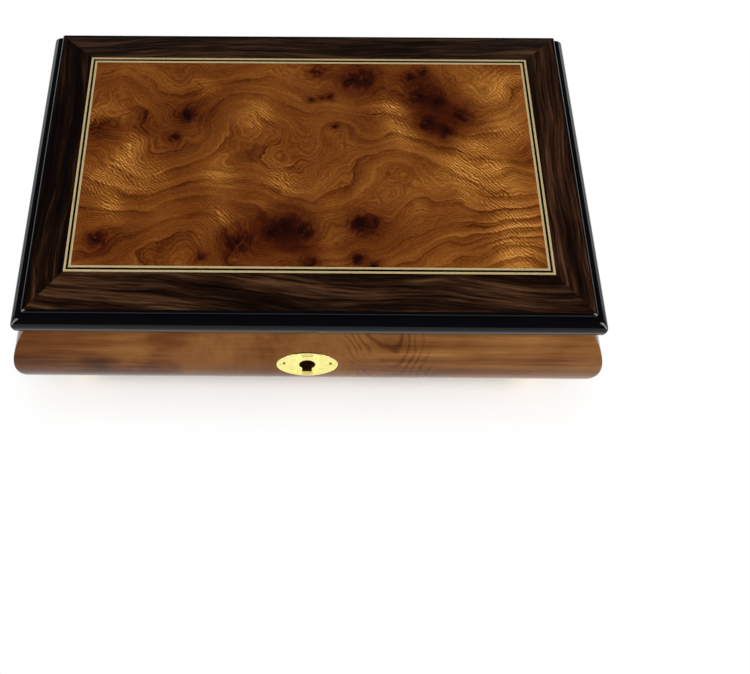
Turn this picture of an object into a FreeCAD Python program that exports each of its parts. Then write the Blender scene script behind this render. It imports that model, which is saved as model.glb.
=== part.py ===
import FreeCAD, Part
import Sketcher
import math
import os
from types import SimpleNamespace

# A musical jewelry box: a bulged wooden case on ball feet, an inlaid lid on a knuckled brass hinge,
# a lined inside with ring rolls, and a wind-up musical movement under a lift-out panel.
# Millimetres, +X to the right, +Y to the back, +Z up. The origin is on the floor under the middle.

doc = FreeCAD.newDocument("musical_jewelry_box")

# Driving sizes, one cell each
SIZES = {
    # case
    "rim_length": 230.4,
    "rim_depth": 140.2,
    "rim_width": 11.8,
    "rim_thickness": 1.0,
    "wall_height": 51.0,
    "wall_bulge": 12.0,
    "bulge_drop": 27.0,
    "lower_radius": 34.0,
    "board_thickness": 4.0,
    # ball feet
    "foot_height": 10.0,
    "foot_radius": 6.2,
    "foot_flat_radius": 3.0,
    "foot_inset_x": 9.2,
    "foot_inset_y": 3.1,
    "foot_stud_radius": 1.6,
    "foot_stud_length": 8.0,
    # lid
    "lid_side_overhang": 5.1,
    "lid_front_overhang": 3.7,
    "lid_back_overhang": 1.4,
    "lid_thickness": 11.7,
    "lid_gap": 0.3,
    "edge_width": 6.4,
    "back_edge_width": 0.8,
    "edge_lip": 2.5,
    "edge_thumb_radius": 4.4,
    "edge_ledge": 0.7,
    "edge_quirk": 0.5,
    "edge_shoulder_radius": 1.2,
    "edge_base_radius": 0.8,
    "veneer_thickness": 1.0,
    "underside_thickness": 1.0,
    "border_width": 15.1,
    "border_drop": 3.2,
    "light_line_width": 0.9,
    "dark_line_width": 0.95,
    # hinge
    "hinge_length": 145.0,
    "barrel_radius": 2.0,
    "pin_radius": 0.8,
    "knuckle_count": 19,
    "knuckle_gap": 0.3,
    "leaf_thickness": 0.9,
    "case_leaf_reach": 9.7,
    "lid_leaf_reach": 7.3,
    "leaf_corner": 3.5,
    "leaf_relief": 0.35,
    "hinge_screw_inset": 9.5,
    "case_screw_setback": 4.9,
    "lid_screw_setback": 4.7,
    "hinge_screw_head_radius": 1.6,
    "hinge_screw_radius": 0.8,
    "hinge_screw_length": 7.0,
    # lock and escutcheon
    "plate_half_length": 13.25,
    "plate_half_height": 8.75,
    "plate_end_radius": 6.2,
    "plate_thickness": 1.0,
    "plate_tilt": 15.0,
    "plate_drop": 19.6,
    "plate_sink": 0.45,
    "plate_ring_radius": 6.2,
    "plate_ring_step": 1.2,
    "plate_ring_width": 0.4,
    "plate_ring_depth": 0.2,
    "keyhole_radius": 3.5,
    "keyhole_slot_width": 4.2,
    "keyhole_slot_drop": 5.4,
    "keyway_room": 2.4,
    "plate_screw_spread": 10.0,
    "plate_screw_head_radius": 1.7,
    "plate_screw_head_height": 0.8,
    "plate_screw_radius": 0.6,
    "plate_screw_length": 5.0,
    "lock_length": 24.0,
    "lock_depth": 7.8,
    "lock_height": 27.0,
    "lock_wall": 1.2,
    "lock_inset": 6.0,
    "ring_outer_radius": 4.2,
    "ring_inner_radius": 2.9,
    "ring_rise": 0.15,
    "stud_radius": 1.9,
    "stud_neck_radius": 1.2,
    "stud_length": 9.0,
    "stud_tip": 2.0,
    "stud_neck_height": 2.0,
    "stud_flange_radius": 3.6,
    "stud_flange_height": 0.8,
    "bolt_thickness": 1.2,
    "bolt_width": 4.8,
    "bolt_standoff": 0.7,
    "bolt_fork_depth": 4.6,
    "bolt_back": 2.0,
    "bolt_tail_width": 3.4,
    "bolt_tail_depth": 1.1,
    "bolt_tail_drop": 11.0,
    # lining, rolls and cover
    "lining_thickness": 2.0,
    "lining_drop": 0.4,
    "floor_thickness": 2.0,
    "movement_room": 85.7,
    "divider_width": 6.4,
    "divider_drop": 5.0,
    "soft_gap": 0.5,
    "low_roll_width": 8.4,
    "low_roll_height": 13.0,
    "high_roll_width": 11.0,
    "high_roll_height": 23.0,
    "cover_drop": 8.5,
    "cover_thickness": 3.0,
    "cover_gap": 0.6,
    "cover_left_gap": 1.6,
    "cover_corner_radius": 1.2,
    "ledge_width": 5.0,
    "ledge_height": 5.0,
    "tab_width": 9.0,
    "tab_length": 7.0,
    "tab_height": 4.2,
    "tab_skin": 0.9,
    "tab_place": 3.5,
    # stop plunger
    "plunger_inset": 7.2,
    "plunger_setback": 33.4,
    "plunger_radius": 1.1,
    "plunger_top_gap": 0.1,
    "plunger_travel": 2.5,
    "bush_radius": 2.1,
    "bush_length": 8.0,
    "stop_arm_width": 1.2,
    "stop_arm_reach": 15.0,
    "stop_arm_gap": 0.35,
    # movement
    "movement_inset": 58.4,
    "bedplate_thickness": 2.0,
    "bedplate_left": 15.0,
    "bedplate_right": 53.0,
    "bedplate_front": 23.0,
    "bedplate_back": 23.0,
    "bedplate_screw_radius": 1.2,
    "bedplate_screw_head_radius": 2.4,
    "bedplate_screw_length": 5.5,
    "bedplate_screw_inset": 4.0,
    "barrel_gap": 0.3,
    "crown_teeth": 40,
    "crown_module": 0.6,
    "crown_face": 1.3,
    "spur_teeth": 20,
    "spur_face": 1.4,
    "tooth_addendum": 0.4,
    "tooth_dedendum": 0.55,
    "cup_base": 1.0,
    "cup_height": 8.0,
    "spring_thickness": 0.4,
    "spring_height": 5.6,
    "spring_turns": 6,
    "spring_lift": 0.2,
    "arbor_radius": 2.0,
    "arbor_rise": 9.5,
    "arbor_drop": 7.5,
    "shaft_radius": 1.0,
    "drum_radius": 6.0,
    "drum_length": 25.6,
    "post_thickness": 1.4,
    "post_width": 6.0,
    "post_gap": 0.7,
    "post_top": 2.4,
    "wheel_teeth": 30,
    "train_module": 0.5,
    "wheel_face": 1.4,
    "pinion_teeth": 10,
    "pinion_face": 1.6,
    "train_drop_angle": 30.0,
    "worm_wheel_teeth": 16,
    "worm_module": 0.6,
    "worm_wheel_face": 1.0,
    "worm_radius": 1.9,
    "worm_core_radius": 1.3,
    "worm_thread_rise": 0.35,
    "worm_turns": 4,
    "worm_shaft_radius": 0.7,
    "cheek_thickness": 1.0,
    "cheek_width": 6.0,
    "cheek_gap": 0.6,
    "frame_base": 1.2,
    "frame_arm": 1.2,
    "frame_back_gap": 0.8,
    "fly_radius": 3.6,
    "fly_height": 2.6,
    "fly_thickness": 0.6,
    "fly_lift": 3.0,
    "comb_thickness": 0.8,
    "comb_heel": 6.5,
    "comb_reach": 7.5,
    "comb_teeth": 18,
    "comb_slot": 0.35,
    "comb_tip_gap": 0.25,
    "comb_base_depth": 6.0,
    "comb_screw_radius": 1.0,
    "comb_screw_head_radius": 2.0,
    "comb_screw_head_height": 1.1,
    "comb_screw_length": 5.0,
    "comb_screw_spread": 8.0,
    "note_height": 0.5,
    "note_width": 0.4,
    "notes_per_track": 4,
    "key_hub_radius": 3.2,
    "key_hub_rise": 3.0,
    "key_width": 22.0,
    "key_height": 6.4,
    "key_thickness": 2.2,
    "key_floor_gap": 1.8,
    "key_eye_radius": 1.5,
    # clearances shared by many pieces
    "running_gap": 0.05,
    "fitting_gap": 0.2,
    "moving_gap": 0.35,
    "overrun": 2.0,
}

sheet = doc.addObject("Spreadsheet::Sheet", "Sheet")
for row, (name, number) in enumerate(SIZES.items(), start=1):
    sheet.set(f"A{row}", name)
    sheet.set(f"B{row}", str(number))
    sheet.setAlias(f"B{row}", name)
doc.recompute()


class Size:
    """A length with its present value and the formula over the sheet that gives it."""

    def __init__(self, value, formula):
        self.value = value
        self.formula = formula

    def __add__(self, other):
        return joined(self, "+", other)

    def __radd__(self, other):
        return joined(other, "+", self)

    def __sub__(self, other):
        return joined(self, "-", other)

    def __rsub__(self, other):
        return joined(other, "-", self)

    def __mul__(self, other):
        return joined(self, "*", other)

    def __rmul__(self, other):
        return joined(other, "*", self)

    def __truediv__(self, other):
        return joined(self, "/", other)

    def __neg__(self):
        return joined(0, "-", self)


def as_size(number):
    if isinstance(number, Size):
        return number
    return Size(float(number), repr(float(number)))


def joined(first, sign, second):
    first = as_size(first)
    second = as_size(second)
    if sign == "+":
        value = first.value + second.value
    elif sign == "-":
        value = first.value - second.value
    elif sign == "*":
        value = first.value * second.value
    else:
        value = first.value / second.value
    return Size(value, f"({first.formula} {sign} {second.formula})")


def root(area):
    return Size(math.sqrt(area.value), f"sqrt({area.formula})")


def cosine(angle):
    return Size(math.cos(math.radians(angle.value)), f"cos({angle.formula} * 1 deg)")


def sine(angle):
    return Size(math.sin(math.radians(angle.value)), f"sin({angle.formula} * 1 deg)")


s = SimpleNamespace(**{name: Size(float(sheet.get(name)), f"Sheet.{name}") for name in SIZES})
nodes = []


# Helpers: features whose sizes are bound to the sheet

def bind(feature, quantity, size):
    size = as_size(size)
    setattr(feature, quantity, size.value)
    feature.setExpression(quantity, size.formula)


def place(feature, x, y, z, turn=None):
    spot = [as_size(x), as_size(y), as_size(z)]
    turn = turn or FreeCAD.Rotation()
    feature.Placement = FreeCAD.Placement(FreeCAD.Vector(*[size.value for size in spot]), turn)
    for letter, size in zip("xyz", spot):
        feature.setExpression(f"Placement.Base.{letter}", size.formula)


def node(feature, label):
    feature.Label = label
    nodes.append(feature)
    return feature


def box(low, high):
    block = doc.addObject("Part::Box", "block")
    for side, start, end in zip(("Length", "Width", "Height"), low, high):
        bind(block, side, as_size(end) - start)
    place(block, *low)
    return block


def rod(axis, low, high, radius):
    """A round bar along x, y or z from the point low to the far coordinate high."""
    turns = {
        "x": FreeCAD.Rotation(FreeCAD.Vector(0, 1, 0), 90),
        "y": FreeCAD.Rotation(FreeCAD.Vector(1, 0, 0), -90),
        "z": FreeCAD.Rotation(),
    }
    bar = doc.addObject("Part::Cylinder", "bar")
    bind(bar, "Radius", radius)
    bind(bar, "Height", as_size(high) - low["xyz".index(axis)])
    place(bar, *low, turns[axis])
    return bar


def fuse(*pieces):
    union = doc.addObject("Part::MultiFuse", "union")
    union.Shapes = list(pieces)
    return union


def cut(base, *tools):
    remainder = doc.addObject("Part::Cut", "remainder")
    remainder.Base = base
    remainder.Tool = tools[0] if len(tools) == 1 else fuse(*tools)
    return remainder


def group(*pieces):
    members = doc.addObject("Part::Compound", "members")
    members.Links = list(pieces)
    return members


def new_body():
    return doc.addObject("PartDesign::Body", "body")


def origin_of(body, role):
    return next(feature for feature in body.Origin.OriginFeatures if feature.Role == role)


def sketch_on(body, plane, lift=0):
    sketch = body.newObject("Sketcher::SketchObject", "sketch")
    sketch.AttachmentSupport = [(origin_of(body, plane), "")]
    sketch.MapMode = "FlatFace"
    lift = as_size(lift)
    sketch.AttachmentOffset = FreeCAD.Placement(FreeCAD.Vector(0, 0, lift.value), FreeCAD.Rotation())
    sketch.setExpression("AttachmentOffset.Base.z", lift.formula)
    return sketch


def pin_point(sketch, line, end, x, y):
    for kind, size in (("DistanceX", as_size(x)), ("DistanceY", as_size(y))):
        bond = sketch.addConstraint(Sketcher.Constraint(kind, -1, 1, line, end, size.value))
        sketch.setExpression(f"Constraints[{bond}]", size.formula)


def arc_between(start, end, radius, turn):
    chord = end - start
    across = FreeCAD.Vector(-chord.y, chord.x, 0).normalize()
    rise = math.sqrt(max(radius * radius - chord.Length * chord.Length / 4, 0))
    centre = start + chord / 2 + across * (rise * turn)
    first, last = (start, end) if turn > 0 else (end, start)
    angles = [math.atan2(point.y - centre.y, point.x - centre.x) for point in (first, last)]
    circle = Part.Circle(centre, FreeCAD.Vector(0, 0, 1), radius)
    return Part.ArcOfCircle(circle, angles[0], angles[1])


def outline(sketch, corners):
    """A closed outline: (x, y) starts a straight run, (x, y, radius, turn) an arc to the next corner."""
    corners = [(as_size(corner[0]), as_size(corner[1]), *corner[2:]) for corner in corners]
    points = [FreeCAD.Vector(x.value, y.value, 0) for x, y, *_ in corners]
    lines = []
    for index, (x, y, *bend) in enumerate(corners):
        start = points[index]
        end = points[(index + 1) % len(points)]
        if bend:
            radius = as_size(bend[0])
            line = sketch.addGeometry(arc_between(start, end, radius.value, bend[1]))
            bond = sketch.addConstraint(Sketcher.Constraint("Radius", line, radius.value))
            sketch.setExpression(f"Constraints[{bond}]", radius.formula)
            lines.append((line, 1, 2) if bend[1] > 0 else (line, 2, 1))
        else:
            lines.append((sketch.addGeometry(Part.LineSegment(start, end)), 1, 2))
    for index, (line, start, end) in enumerate(lines):
        following = lines[(index + 1) % len(lines)]
        sketch.addConstraint(Sketcher.Constraint("Coincident", line, end, following[0], following[1]))
        pin_point(sketch, line, start, corners[index][0], corners[index][1])


def rectangle(sketch, left, low, right, high):
    outline(sketch, [(left, low), (right, low), (right, high), (left, high)])


def circle(sketch, x, y, radius):
    radius = as_size(radius)
    middle = FreeCAD.Vector(as_size(x).value, as_size(y).value, 0)
    line = sketch.addGeometry(Part.Circle(middle, FreeCAD.Vector(0, 0, 1), radius.value))
    bond = sketch.addConstraint(Sketcher.Constraint("Radius", line, radius.value))
    sketch.setExpression(f"Constraints[{bond}]", radius.formula)
    pin_point(sketch, line, 3, x, y)


def pad(body, sketch, length, side="One side"):
    feature = body.newObject("PartDesign::Pad", "pad")
    feature.Profile = sketch
    feature.SideType = side
    bind(feature, "Length", length)
    return feature


def pocket_through(body, sketch):
    feature = body.newObject("PartDesign::Pocket", "pocket")
    feature.Profile = sketch
    feature.Type = "ThroughAll"
    feature.SideType = "Symmetric"
    return feature


def revolve(body, sketch, axis="V_Axis"):
    feature = body.newObject("PartDesign::Revolution", "revolution")
    feature.Profile = sketch
    feature.ReferenceAxis = (sketch, [axis])
    feature.Angle = 360
    return feature


def polar(body, originals, axis, count):
    pattern = body.newObject("PartDesign::PolarPattern", "ring")
    pattern.Originals = originals
    pattern.Axis = (origin_of(body, axis), [""])
    pattern.Angle = 360
    bind_count(pattern, count)
    body.Tip = pattern


def linear(body, originals, length, count):
    pattern = body.newObject("PartDesign::LinearPattern", "row")
    pattern.Originals = originals
    pattern.Direction = (origin_of(body, "X_Axis"), [""])
    bind(pattern, "Length", length)
    bind_count(pattern, count)
    body.Tip = pattern


def bind_count(pattern, count):
    pattern.Occurrences = round(count.value)
    pattern.setExpression("Occurrences", count.formula)


def plate(corners, low, thickness):
    """A flat piece with its outline in plan, from the height low upwards."""
    body = new_body()
    sketch = sketch_on(body, "XY_Plane", low)
    outline(sketch, corners)
    pad(body, sketch, thickness)
    return body


def turned(corners, x, y, z, turn=None):
    """A piece turned on a lathe: the outline holds radius and height, about an upright axis."""
    body = new_body()
    sketch = sketch_on(body, "XZ_Plane")
    outline(sketch, corners)
    revolve(body, sketch)
    place(body, x, y, z, turn)
    return body


SIDES = {"front": ("y", -1), "back": ("y", 1), "left": ("x", -1), "right": ("x", 1)}
UPSIDE_DOWN = FreeCAD.Rotation(FreeCAD.Vector(1, 0, 0), 180)


def mitred_rail(side, profile, half_length, half_depth, reach_out, reach_in, middle=0):
    """One side of a frame: a profile of (outwards, height) run along the side and mitred at both ends."""
    cross_axis, sign = SIDES[side]
    along, across = (half_length, half_depth) if cross_axis == "y" else (half_depth, half_length)
    body = new_body()
    section = sketch_on(body, "YZ_Plane" if cross_axis == "y" else "XZ_Plane")
    corners = []
    for out, height, *bend in profile:
        corner = (sign * (across + out), height)
        corners.append((*corner, bend[0], bend[1] * sign) if bend else corner)
    outline(section, corners)
    pad(body, section, 2 * (along + reach_out), "Symmetric")
    mitres = sketch_on(body, "XY_Plane")
    inner = reach_in + s.overrun
    outer = reach_out + s.overrun
    for end in (-1, 1):
        notch = [
            (end * (along - inner), sign * (across - inner)),
            (end * (along + outer), sign * (across + outer)),
            (end * (along + outer), sign * (across - inner)),
        ]
        outline(mitres, [corner if cross_axis == "y" else corner[::-1] for corner in notch])
    pocket_through(body, mitres)
    place(body, 0, middle, 0)
    return body


def mitred_strip(side, half_length, half_depth, width, low, thickness, middle=0):
    """One flat strip of a mitred frame, measured inwards from the frame's outer edge."""
    cross_axis, sign = SIDES[side]
    along, across = (half_length, half_depth) if cross_axis == "y" else (half_depth, half_length)
    corners = [
        (-along, sign * across),
        (along, sign * across),
        (along - width, sign * (across - width)),
        (width - along, sign * (across - width)),
    ]
    strip = plate([corner if cross_axis == "y" else corner[::-1] for corner in corners], low, thickness)
    place(strip, 0, middle, 0)
    return strip


# Levels and half sizes that many pieces share
half_rim_x = s.rim_length / 2
half_rim_y = s.rim_depth / 2
half_open_x = half_rim_x - s.rim_width
half_open_y = half_rim_y - s.rim_width
case_bottom = s.foot_height
board_top = case_bottom + s.board_thickness
wall_top = case_bottom + s.wall_height
rim_top = wall_top + s.rim_thickness
lid_bottom = rim_top + s.lid_gap
lid_top = lid_bottom + s.lid_thickness
half_lid_x = half_rim_x + s.lid_side_overhang
lid_front = -half_rim_y - s.lid_front_overhang
lid_back = half_rim_y + s.lid_back_overhang
hinge_y = lid_back
hinge_z = rim_top + s.lid_gap / 2
inner_x = half_open_x - s.lining_thickness
inner_y = half_open_y - s.lining_thickness
stud_y = s.lock_inset - half_rim_y
plunger_x = half_rim_x - s.plunger_inset
plunger_y = half_rim_y - s.plunger_setback
movement_x = inner_x - s.movement_inset

# Case walls: a bulged section, mitred at the corners
upper_radius = (s.wall_bulge * s.wall_bulge + s.bulge_drop * s.bulge_drop) / (2 * s.wall_bulge)
lower_drop = s.wall_height - s.bulge_drop
bottom_out = s.wall_bulge - s.lower_radius + root(s.lower_radius * s.lower_radius - lower_drop * lower_drop)
wall_profile = [
    (-s.rim_width, case_bottom),
    (bottom_out, case_bottom, s.lower_radius, 1),
    (s.wall_bulge, wall_top - s.bulge_drop, upper_radius, 1),
    (as_size(0), wall_top),
    (-s.rim_width, wall_top),
]
walls = {
    side: mitred_rail(side, wall_profile, half_rim_x, half_rim_y, s.wall_bulge, s.rim_width)
    for side in SIDES
}

# Ball feet with a stud each, screwed up into the front and back walls
foot_x = half_rim_x - s.foot_inset_x
foot_y = half_rim_y - s.foot_inset_y
ball_middle = root(s.foot_radius * s.foot_radius - s.foot_flat_radius * s.foot_flat_radius)
neck_rise = s.foot_height - ball_middle
neck_radius = root(s.foot_radius * s.foot_radius - neck_rise * neck_rise)
foot_profile = [
    (as_size(0), as_size(0)),
    (s.foot_flat_radius, as_size(0), s.foot_radius, 1),
    (s.foot_radius, ball_middle, s.foot_radius, 1),
    (neck_radius, s.foot_height),
    (s.foot_stud_radius, s.foot_height),
    (s.foot_stud_radius, s.foot_height + s.foot_stud_length),
    (as_size(0), s.foot_height + s.foot_stud_length),
]
foot_spots = [(end * foot_x, deep * foot_y) for deep in (-1, 1) for end in (-1, 1)]
node(group(*[turned(foot_profile, x, y, 0) for x, y in foot_spots]), "ball_feet")
foot_holes = [
    rod("z", (x, y, case_bottom - s.overrun), case_bottom + s.foot_stud_length, s.foot_stud_radius)
    for x, y in foot_spots
]

# Escutcheon: an oval brass plate on the bulge of the front wall, with rings turned round its keyhole
plate_z = rim_top - s.plate_drop
plate_fall = wall_top - s.bulge_drop - plate_z
wall_out = s.wall_bulge - upper_radius + root(upper_radius * upper_radius - plate_fall * plate_fall)
plate_y = s.plate_sink - half_rim_y - wall_out
PLATE_TURN = FreeCAD.Rotation(FreeCAD.Vector(1, 0, 0), -s.plate_tilt.value)


def oval(sketch, half_length, half_height, end_radius):
    """A four-centred oval about the sketch's origin."""
    run = half_length - end_radius
    side_radius = (run * run + half_height * half_height - end_radius * end_radius) / (
        2 * (half_height - end_radius)
    )
    share = end_radius / (side_radius - end_radius)
    joint_x = run + run * share
    joint_y = (side_radius - half_height) * share
    outline(sketch, [
        (joint_x, -joint_y, end_radius, 1),
        (joint_x, joint_y, side_radius, 1),
        (-joint_x, joint_y, end_radius, 1),
        (-joint_x, -joint_y, side_radius, 1),
    ])


def oval_block(grow, front, back):
    """An oval prism in the plate's own place, from front outwards to back inwards of its face."""
    body = new_body()
    sketch = sketch_on(body, "XZ_Plane", front)
    oval(sketch, s.plate_half_length + grow, s.plate_half_height + grow, s.plate_end_radius + grow)
    feature = pad(body, sketch, front + back)
    feature.Reversed = True
    place(body, 0, plate_y, plate_z, PLATE_TURN)
    return body


plate_blank = oval_block(as_size(0), as_size(0), s.plate_thickness)
rings = sketch_on(plate_blank, "XZ_Plane")
for radius in (s.plate_ring_radius, s.plate_ring_radius + s.plate_ring_step):
    circle(rings, 0, 0, radius)
    circle(rings, 0, 0, radius + s.plate_ring_width)
ring_cut = plate_blank.newObject("PartDesign::Pocket", "rings")
ring_cut.Profile = rings
ring_cut.SideType = "Symmetric"
bind(ring_cut, "Length", 2 * s.plate_ring_depth)
keyhole = sketch_on(plate_blank, "XZ_Plane")
circle(keyhole, 0, 0, s.keyhole_radius)
pocket_through(plate_blank, keyhole)
keyslot = sketch_on(plate_blank, "XZ_Plane")
rectangle(keyslot, -s.keyhole_slot_width / 2, -s.keyhole_slot_drop, s.keyhole_slot_width / 2, 0)
pocket_through(plate_blank, keyslot)
pins = sketch_on(plate_blank, "XZ_Plane")
for end in (-1, 1):
    circle(pins, end * s.plate_screw_spread, 0, s.plate_screw_radius)
pocket_through(plate_blank, pins)
node(plate_blank, "escutcheon")
dome_half = s.plate_screw_head_radius
dome_rise = s.plate_screw_head_height
dome_radius = (dome_half * dome_half + dome_rise * dome_rise) / (2 * dome_rise)


def plate_screw(end, shank_only):
    body = new_body()
    shank = sketch_on(body, "XZ_Plane")
    circle(shank, end * s.plate_screw_spread, 0, s.plate_screw_radius)
    pad(body, shank, s.plate_screw_length).Reversed = True
    if not shank_only:
        head = sketch_on(body, "XY_Plane")
        left = end * s.plate_screw_spread
        outline(head, [
            (left, as_size(0)),
            (left, -dome_rise, dome_radius, 1),
            (left + dome_half, as_size(0)),
        ])
        dome = body.newObject("PartDesign::Revolution", "dome")
        dome.Profile = head
        axis_start = FreeCAD.Vector(left.value, 0, 0)
        axis_end = FreeCAD.Vector(left.value, s.plate_screw_length.value, 0)
        axis_line = head.addGeometry(Part.LineSegment(axis_start, axis_end), True)
        head.addConstraint(Sketcher.Constraint("Vertical", axis_line))
        pin_point(head, axis_line, 1, left, 0)
        dome.ReferenceAxis = (head, ["Axis0"])
        dome.Angle = 360
    place(body, 0, plate_y, plate_z, PLATE_TURN)
    return body


node(group(*[plate_screw(end, False) for end in (-1, 1)]), "escutcheon_screws")

# Lock: a brass case in a mortise behind the plate, with a forked bolt that grips the catch stud
lock_front = stud_y - s.lock_depth / 2
lock_back = stud_y + s.lock_depth / 2
lock_low = wall_top - s.lock_height
half_lock = s.lock_length / 2


def keyway(room):
    """The key's way in to the lock, with room all round it."""
    half_slot = s.keyhole_slot_width / 2 + room
    return fuse(
        rod("y", (as_size(0), plate_y - s.overrun, plate_z), stud_y, s.keyhole_radius + room),
        box(
            (-half_slot, plate_y - s.overrun, plate_z - s.keyhole_slot_drop - room),
            (half_slot, stud_y, plate_z),
        ),
    )


lock_hollow = box(
    (s.lock_wall - half_lock, lock_front + s.lock_wall, lock_low + s.lock_wall),
    (half_lock - s.lock_wall, lock_back - s.lock_wall, wall_top - s.lock_wall),
)
stud_way = rod(
    "z",
    (as_size(0), stud_y, wall_top - s.lock_wall - s.overrun),
    wall_top + s.overrun,
    s.ring_inner_radius,
)
lock_block = box((-half_lock, lock_front, lock_low), (half_lock, lock_back, wall_top))
node(cut(lock_block, lock_hollow, stud_way, keyway(as_size(0))), "lock_case")
mortise = box(
    (-half_lock - s.fitting_gap, lock_front - s.fitting_gap, lock_low - s.fitting_gap),
    (half_lock + s.fitting_gap, lock_back + s.fitting_gap, wall_top + s.overrun),
)
plate_seat = oval_block(s.fitting_gap, s.wall_bulge, s.plate_thickness)
plate_screw_holes = [plate_screw(end, True) for end in (-1, 1)]
node(
    cut(walls["front"], mortise, keyway(s.keyway_room), plate_seat, *plate_screw_holes, *foot_holes[:2]),
    "front_wall",
)
ring_mid = (s.ring_outer_radius - s.ring_inner_radius) / 2
ring_height = s.rim_thickness + s.ring_rise
node(
    turned([
        (s.ring_inner_radius, as_size(0)),
        (s.ring_outer_radius, as_size(0)),
        (s.ring_outer_radius, ring_height - ring_mid, ring_mid, 1),
        (s.ring_inner_radius + ring_mid, ring_height, ring_mid, 1),
        (s.ring_inner_radius, ring_height - ring_mid),
    ], 0, stud_y, wall_top),
    "lock_ring",
)
neck_low = lid_bottom - s.stud_length + s.stud_tip
neck_high = neck_low + s.stud_neck_height
bolt_low = (neck_low + neck_high - s.bolt_thickness) / 2
bolt_high = bolt_low + s.bolt_thickness
fork_tip = s.stud_radius + s.bolt_standoff
fork_root = fork_tip + s.bolt_fork_depth
bolt_end = fork_root + s.bolt_back
fork_half = s.stud_neck_radius + s.moving_gap
bolt_front = stud_y - s.bolt_width / 2
bolt_back = stud_y + s.bolt_width / 2
bolt_plate = plate([
    (fork_tip, bolt_front),
    (bolt_end, bolt_front),
    (bolt_end, bolt_back),
    (fork_tip, bolt_back),
    (fork_tip, stud_y + fork_half),
    (fork_root, stud_y + fork_half),
    (fork_root, stud_y - fork_half),
    (fork_tip, stud_y - fork_half),
], bolt_low, s.bolt_thickness)
bolt_tail = box(
    (bolt_end - s.bolt_tail_width, bolt_back - s.bolt_tail_depth, bolt_low - s.bolt_tail_drop),
    (bolt_end, bolt_back, bolt_high),
)
node(fuse(bolt_plate, bolt_tail), "lock_bolt")

# Stop plunger: a brass pin in a bush in the right rim, with an arm that reaches in to the governor's fly
movement_y = plunger_y - (
    s.train_module * (s.wheel_teeth + s.pinion_teeth) / 2 * cosine(s.train_drop_angle)
    + s.worm_module * s.worm_wheel_teeth / 2
    + s.worm_radius
)
bush_low = rim_top - s.bush_length
bush_spot = (plunger_x, plunger_y)
node(
    cut(
        rod("z", (*bush_spot, bush_low), rim_top, s.bush_radius),
        rod("z", (*bush_spot, bush_low - s.overrun), rim_top + s.overrun, s.plunger_radius + s.running_gap),
    ),
    "plunger_bush",
)

# Musical movement, on a bedplate screwed to the bottom board: levels and places along its length
bed = board_top
bed_top = bed + s.bedplate_thickness
cup_low = bed_top + s.barrel_gap
cup_top = cup_low + s.cup_height
crown_radius = s.crown_module * s.crown_teeth / 2
spur_radius = s.crown_module * s.spur_teeth / 2
shaft_z = cup_top + s.tooth_dedendum + spur_radius
spur_x = movement_x + crown_radius
left_post = spur_x + s.crown_face / 2 + s.post_gap + s.moving_gap
drum_left = left_post + s.post_thickness + s.post_gap
drum_right = drum_left + s.drum_length
wheel_left = drum_right + s.post_gap
wheel_right = wheel_left + s.wheel_face
right_post = wheel_right + s.post_gap
wheel_radius = s.train_module * s.wheel_teeth / 2
pinion_radius = s.train_module * s.pinion_teeth / 2
train_y = movement_y + (wheel_radius + pinion_radius) * cosine(s.train_drop_angle)
train_z = shaft_z - (wheel_radius + pinion_radius) * sine(s.train_drop_angle)
worm_wheel_radius = s.worm_module * s.worm_wheel_teeth / 2
left_cheek = right_post
worm_x = left_cheek + s.cheek_thickness + s.cheek_gap + s.worm_radius
right_cheek = worm_x + s.worm_radius + s.cheek_gap
fly_low = train_z + s.fly_lift + s.worm_radius
fly_high = fly_low + s.fly_height
frame_top = fly_high + s.moving_gap + s.stop_arm_width

# Bedplate: a cast plate with a comb rest and two bearing posts
bed_front = movement_y - s.bedplate_front
comb_top = shaft_z + s.comb_thickness / 2
comb_tip = movement_y - s.drum_radius - s.note_height - s.comb_tip_gap
comb_root = comb_tip - s.comb_reach
comb_end = comb_root - s.comb_heel
shaft_bore = rod(
    "x",
    (left_post - s.overrun, movement_y, shaft_z),
    right_post + s.post_thickness + s.overrun,
    s.shaft_radius + s.running_gap,
)
posts = [
    box(
        (left, movement_y - s.post_width / 2, bed),
        (left + s.post_thickness, movement_y + s.post_width / 2, shaft_z + s.post_top),
    )
    for left in (left_post, right_post)
]
bed_left = movement_x - s.bedplate_left
bed_right = movement_x + s.bedplate_right
bed_back = movement_y + s.bedplate_back
comb_rest = box(
    (drum_left, comb_end, bed),
    (drum_right, comb_end + s.comb_base_depth, comb_top - s.comb_thickness),
)
arbor_way = rod(
    "z",
    (movement_x, movement_y, bed - s.overrun),
    bed_top + s.overrun,
    s.arbor_radius + s.running_gap,
)
bed_screw_spots = [
    (bed_left + s.bedplate_screw_inset, bed_front + s.bedplate_screw_inset),
    (bed_right - s.bedplate_screw_inset, bed_front + s.bedplate_screw_inset),
    (bed_left + s.bedplate_screw_inset, bed_back - s.bedplate_screw_inset),
]


def sunk_screw(x, y, z, head_radius, radius, length, grow, turn=None):
    """A countersunk screw whose head is flush at the height z; it points up unless it is turned over."""
    head_height = head_radius - radius
    return turned([
        (as_size(0), as_size(0)),
        (head_radius + grow, as_size(0)),
        (radius + grow, head_height),
        (radius + grow, length + grow),
        (as_size(0), length + grow),
    ], x, y, z, turn)


def bed_screws(grow):
    return [
        sunk_screw(
            x, y, case_bottom,
            s.bedplate_screw_head_radius, s.bedplate_screw_radius, s.bedplate_screw_length, grow,
        )
        for x, y in bed_screw_spots
    ]


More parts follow.
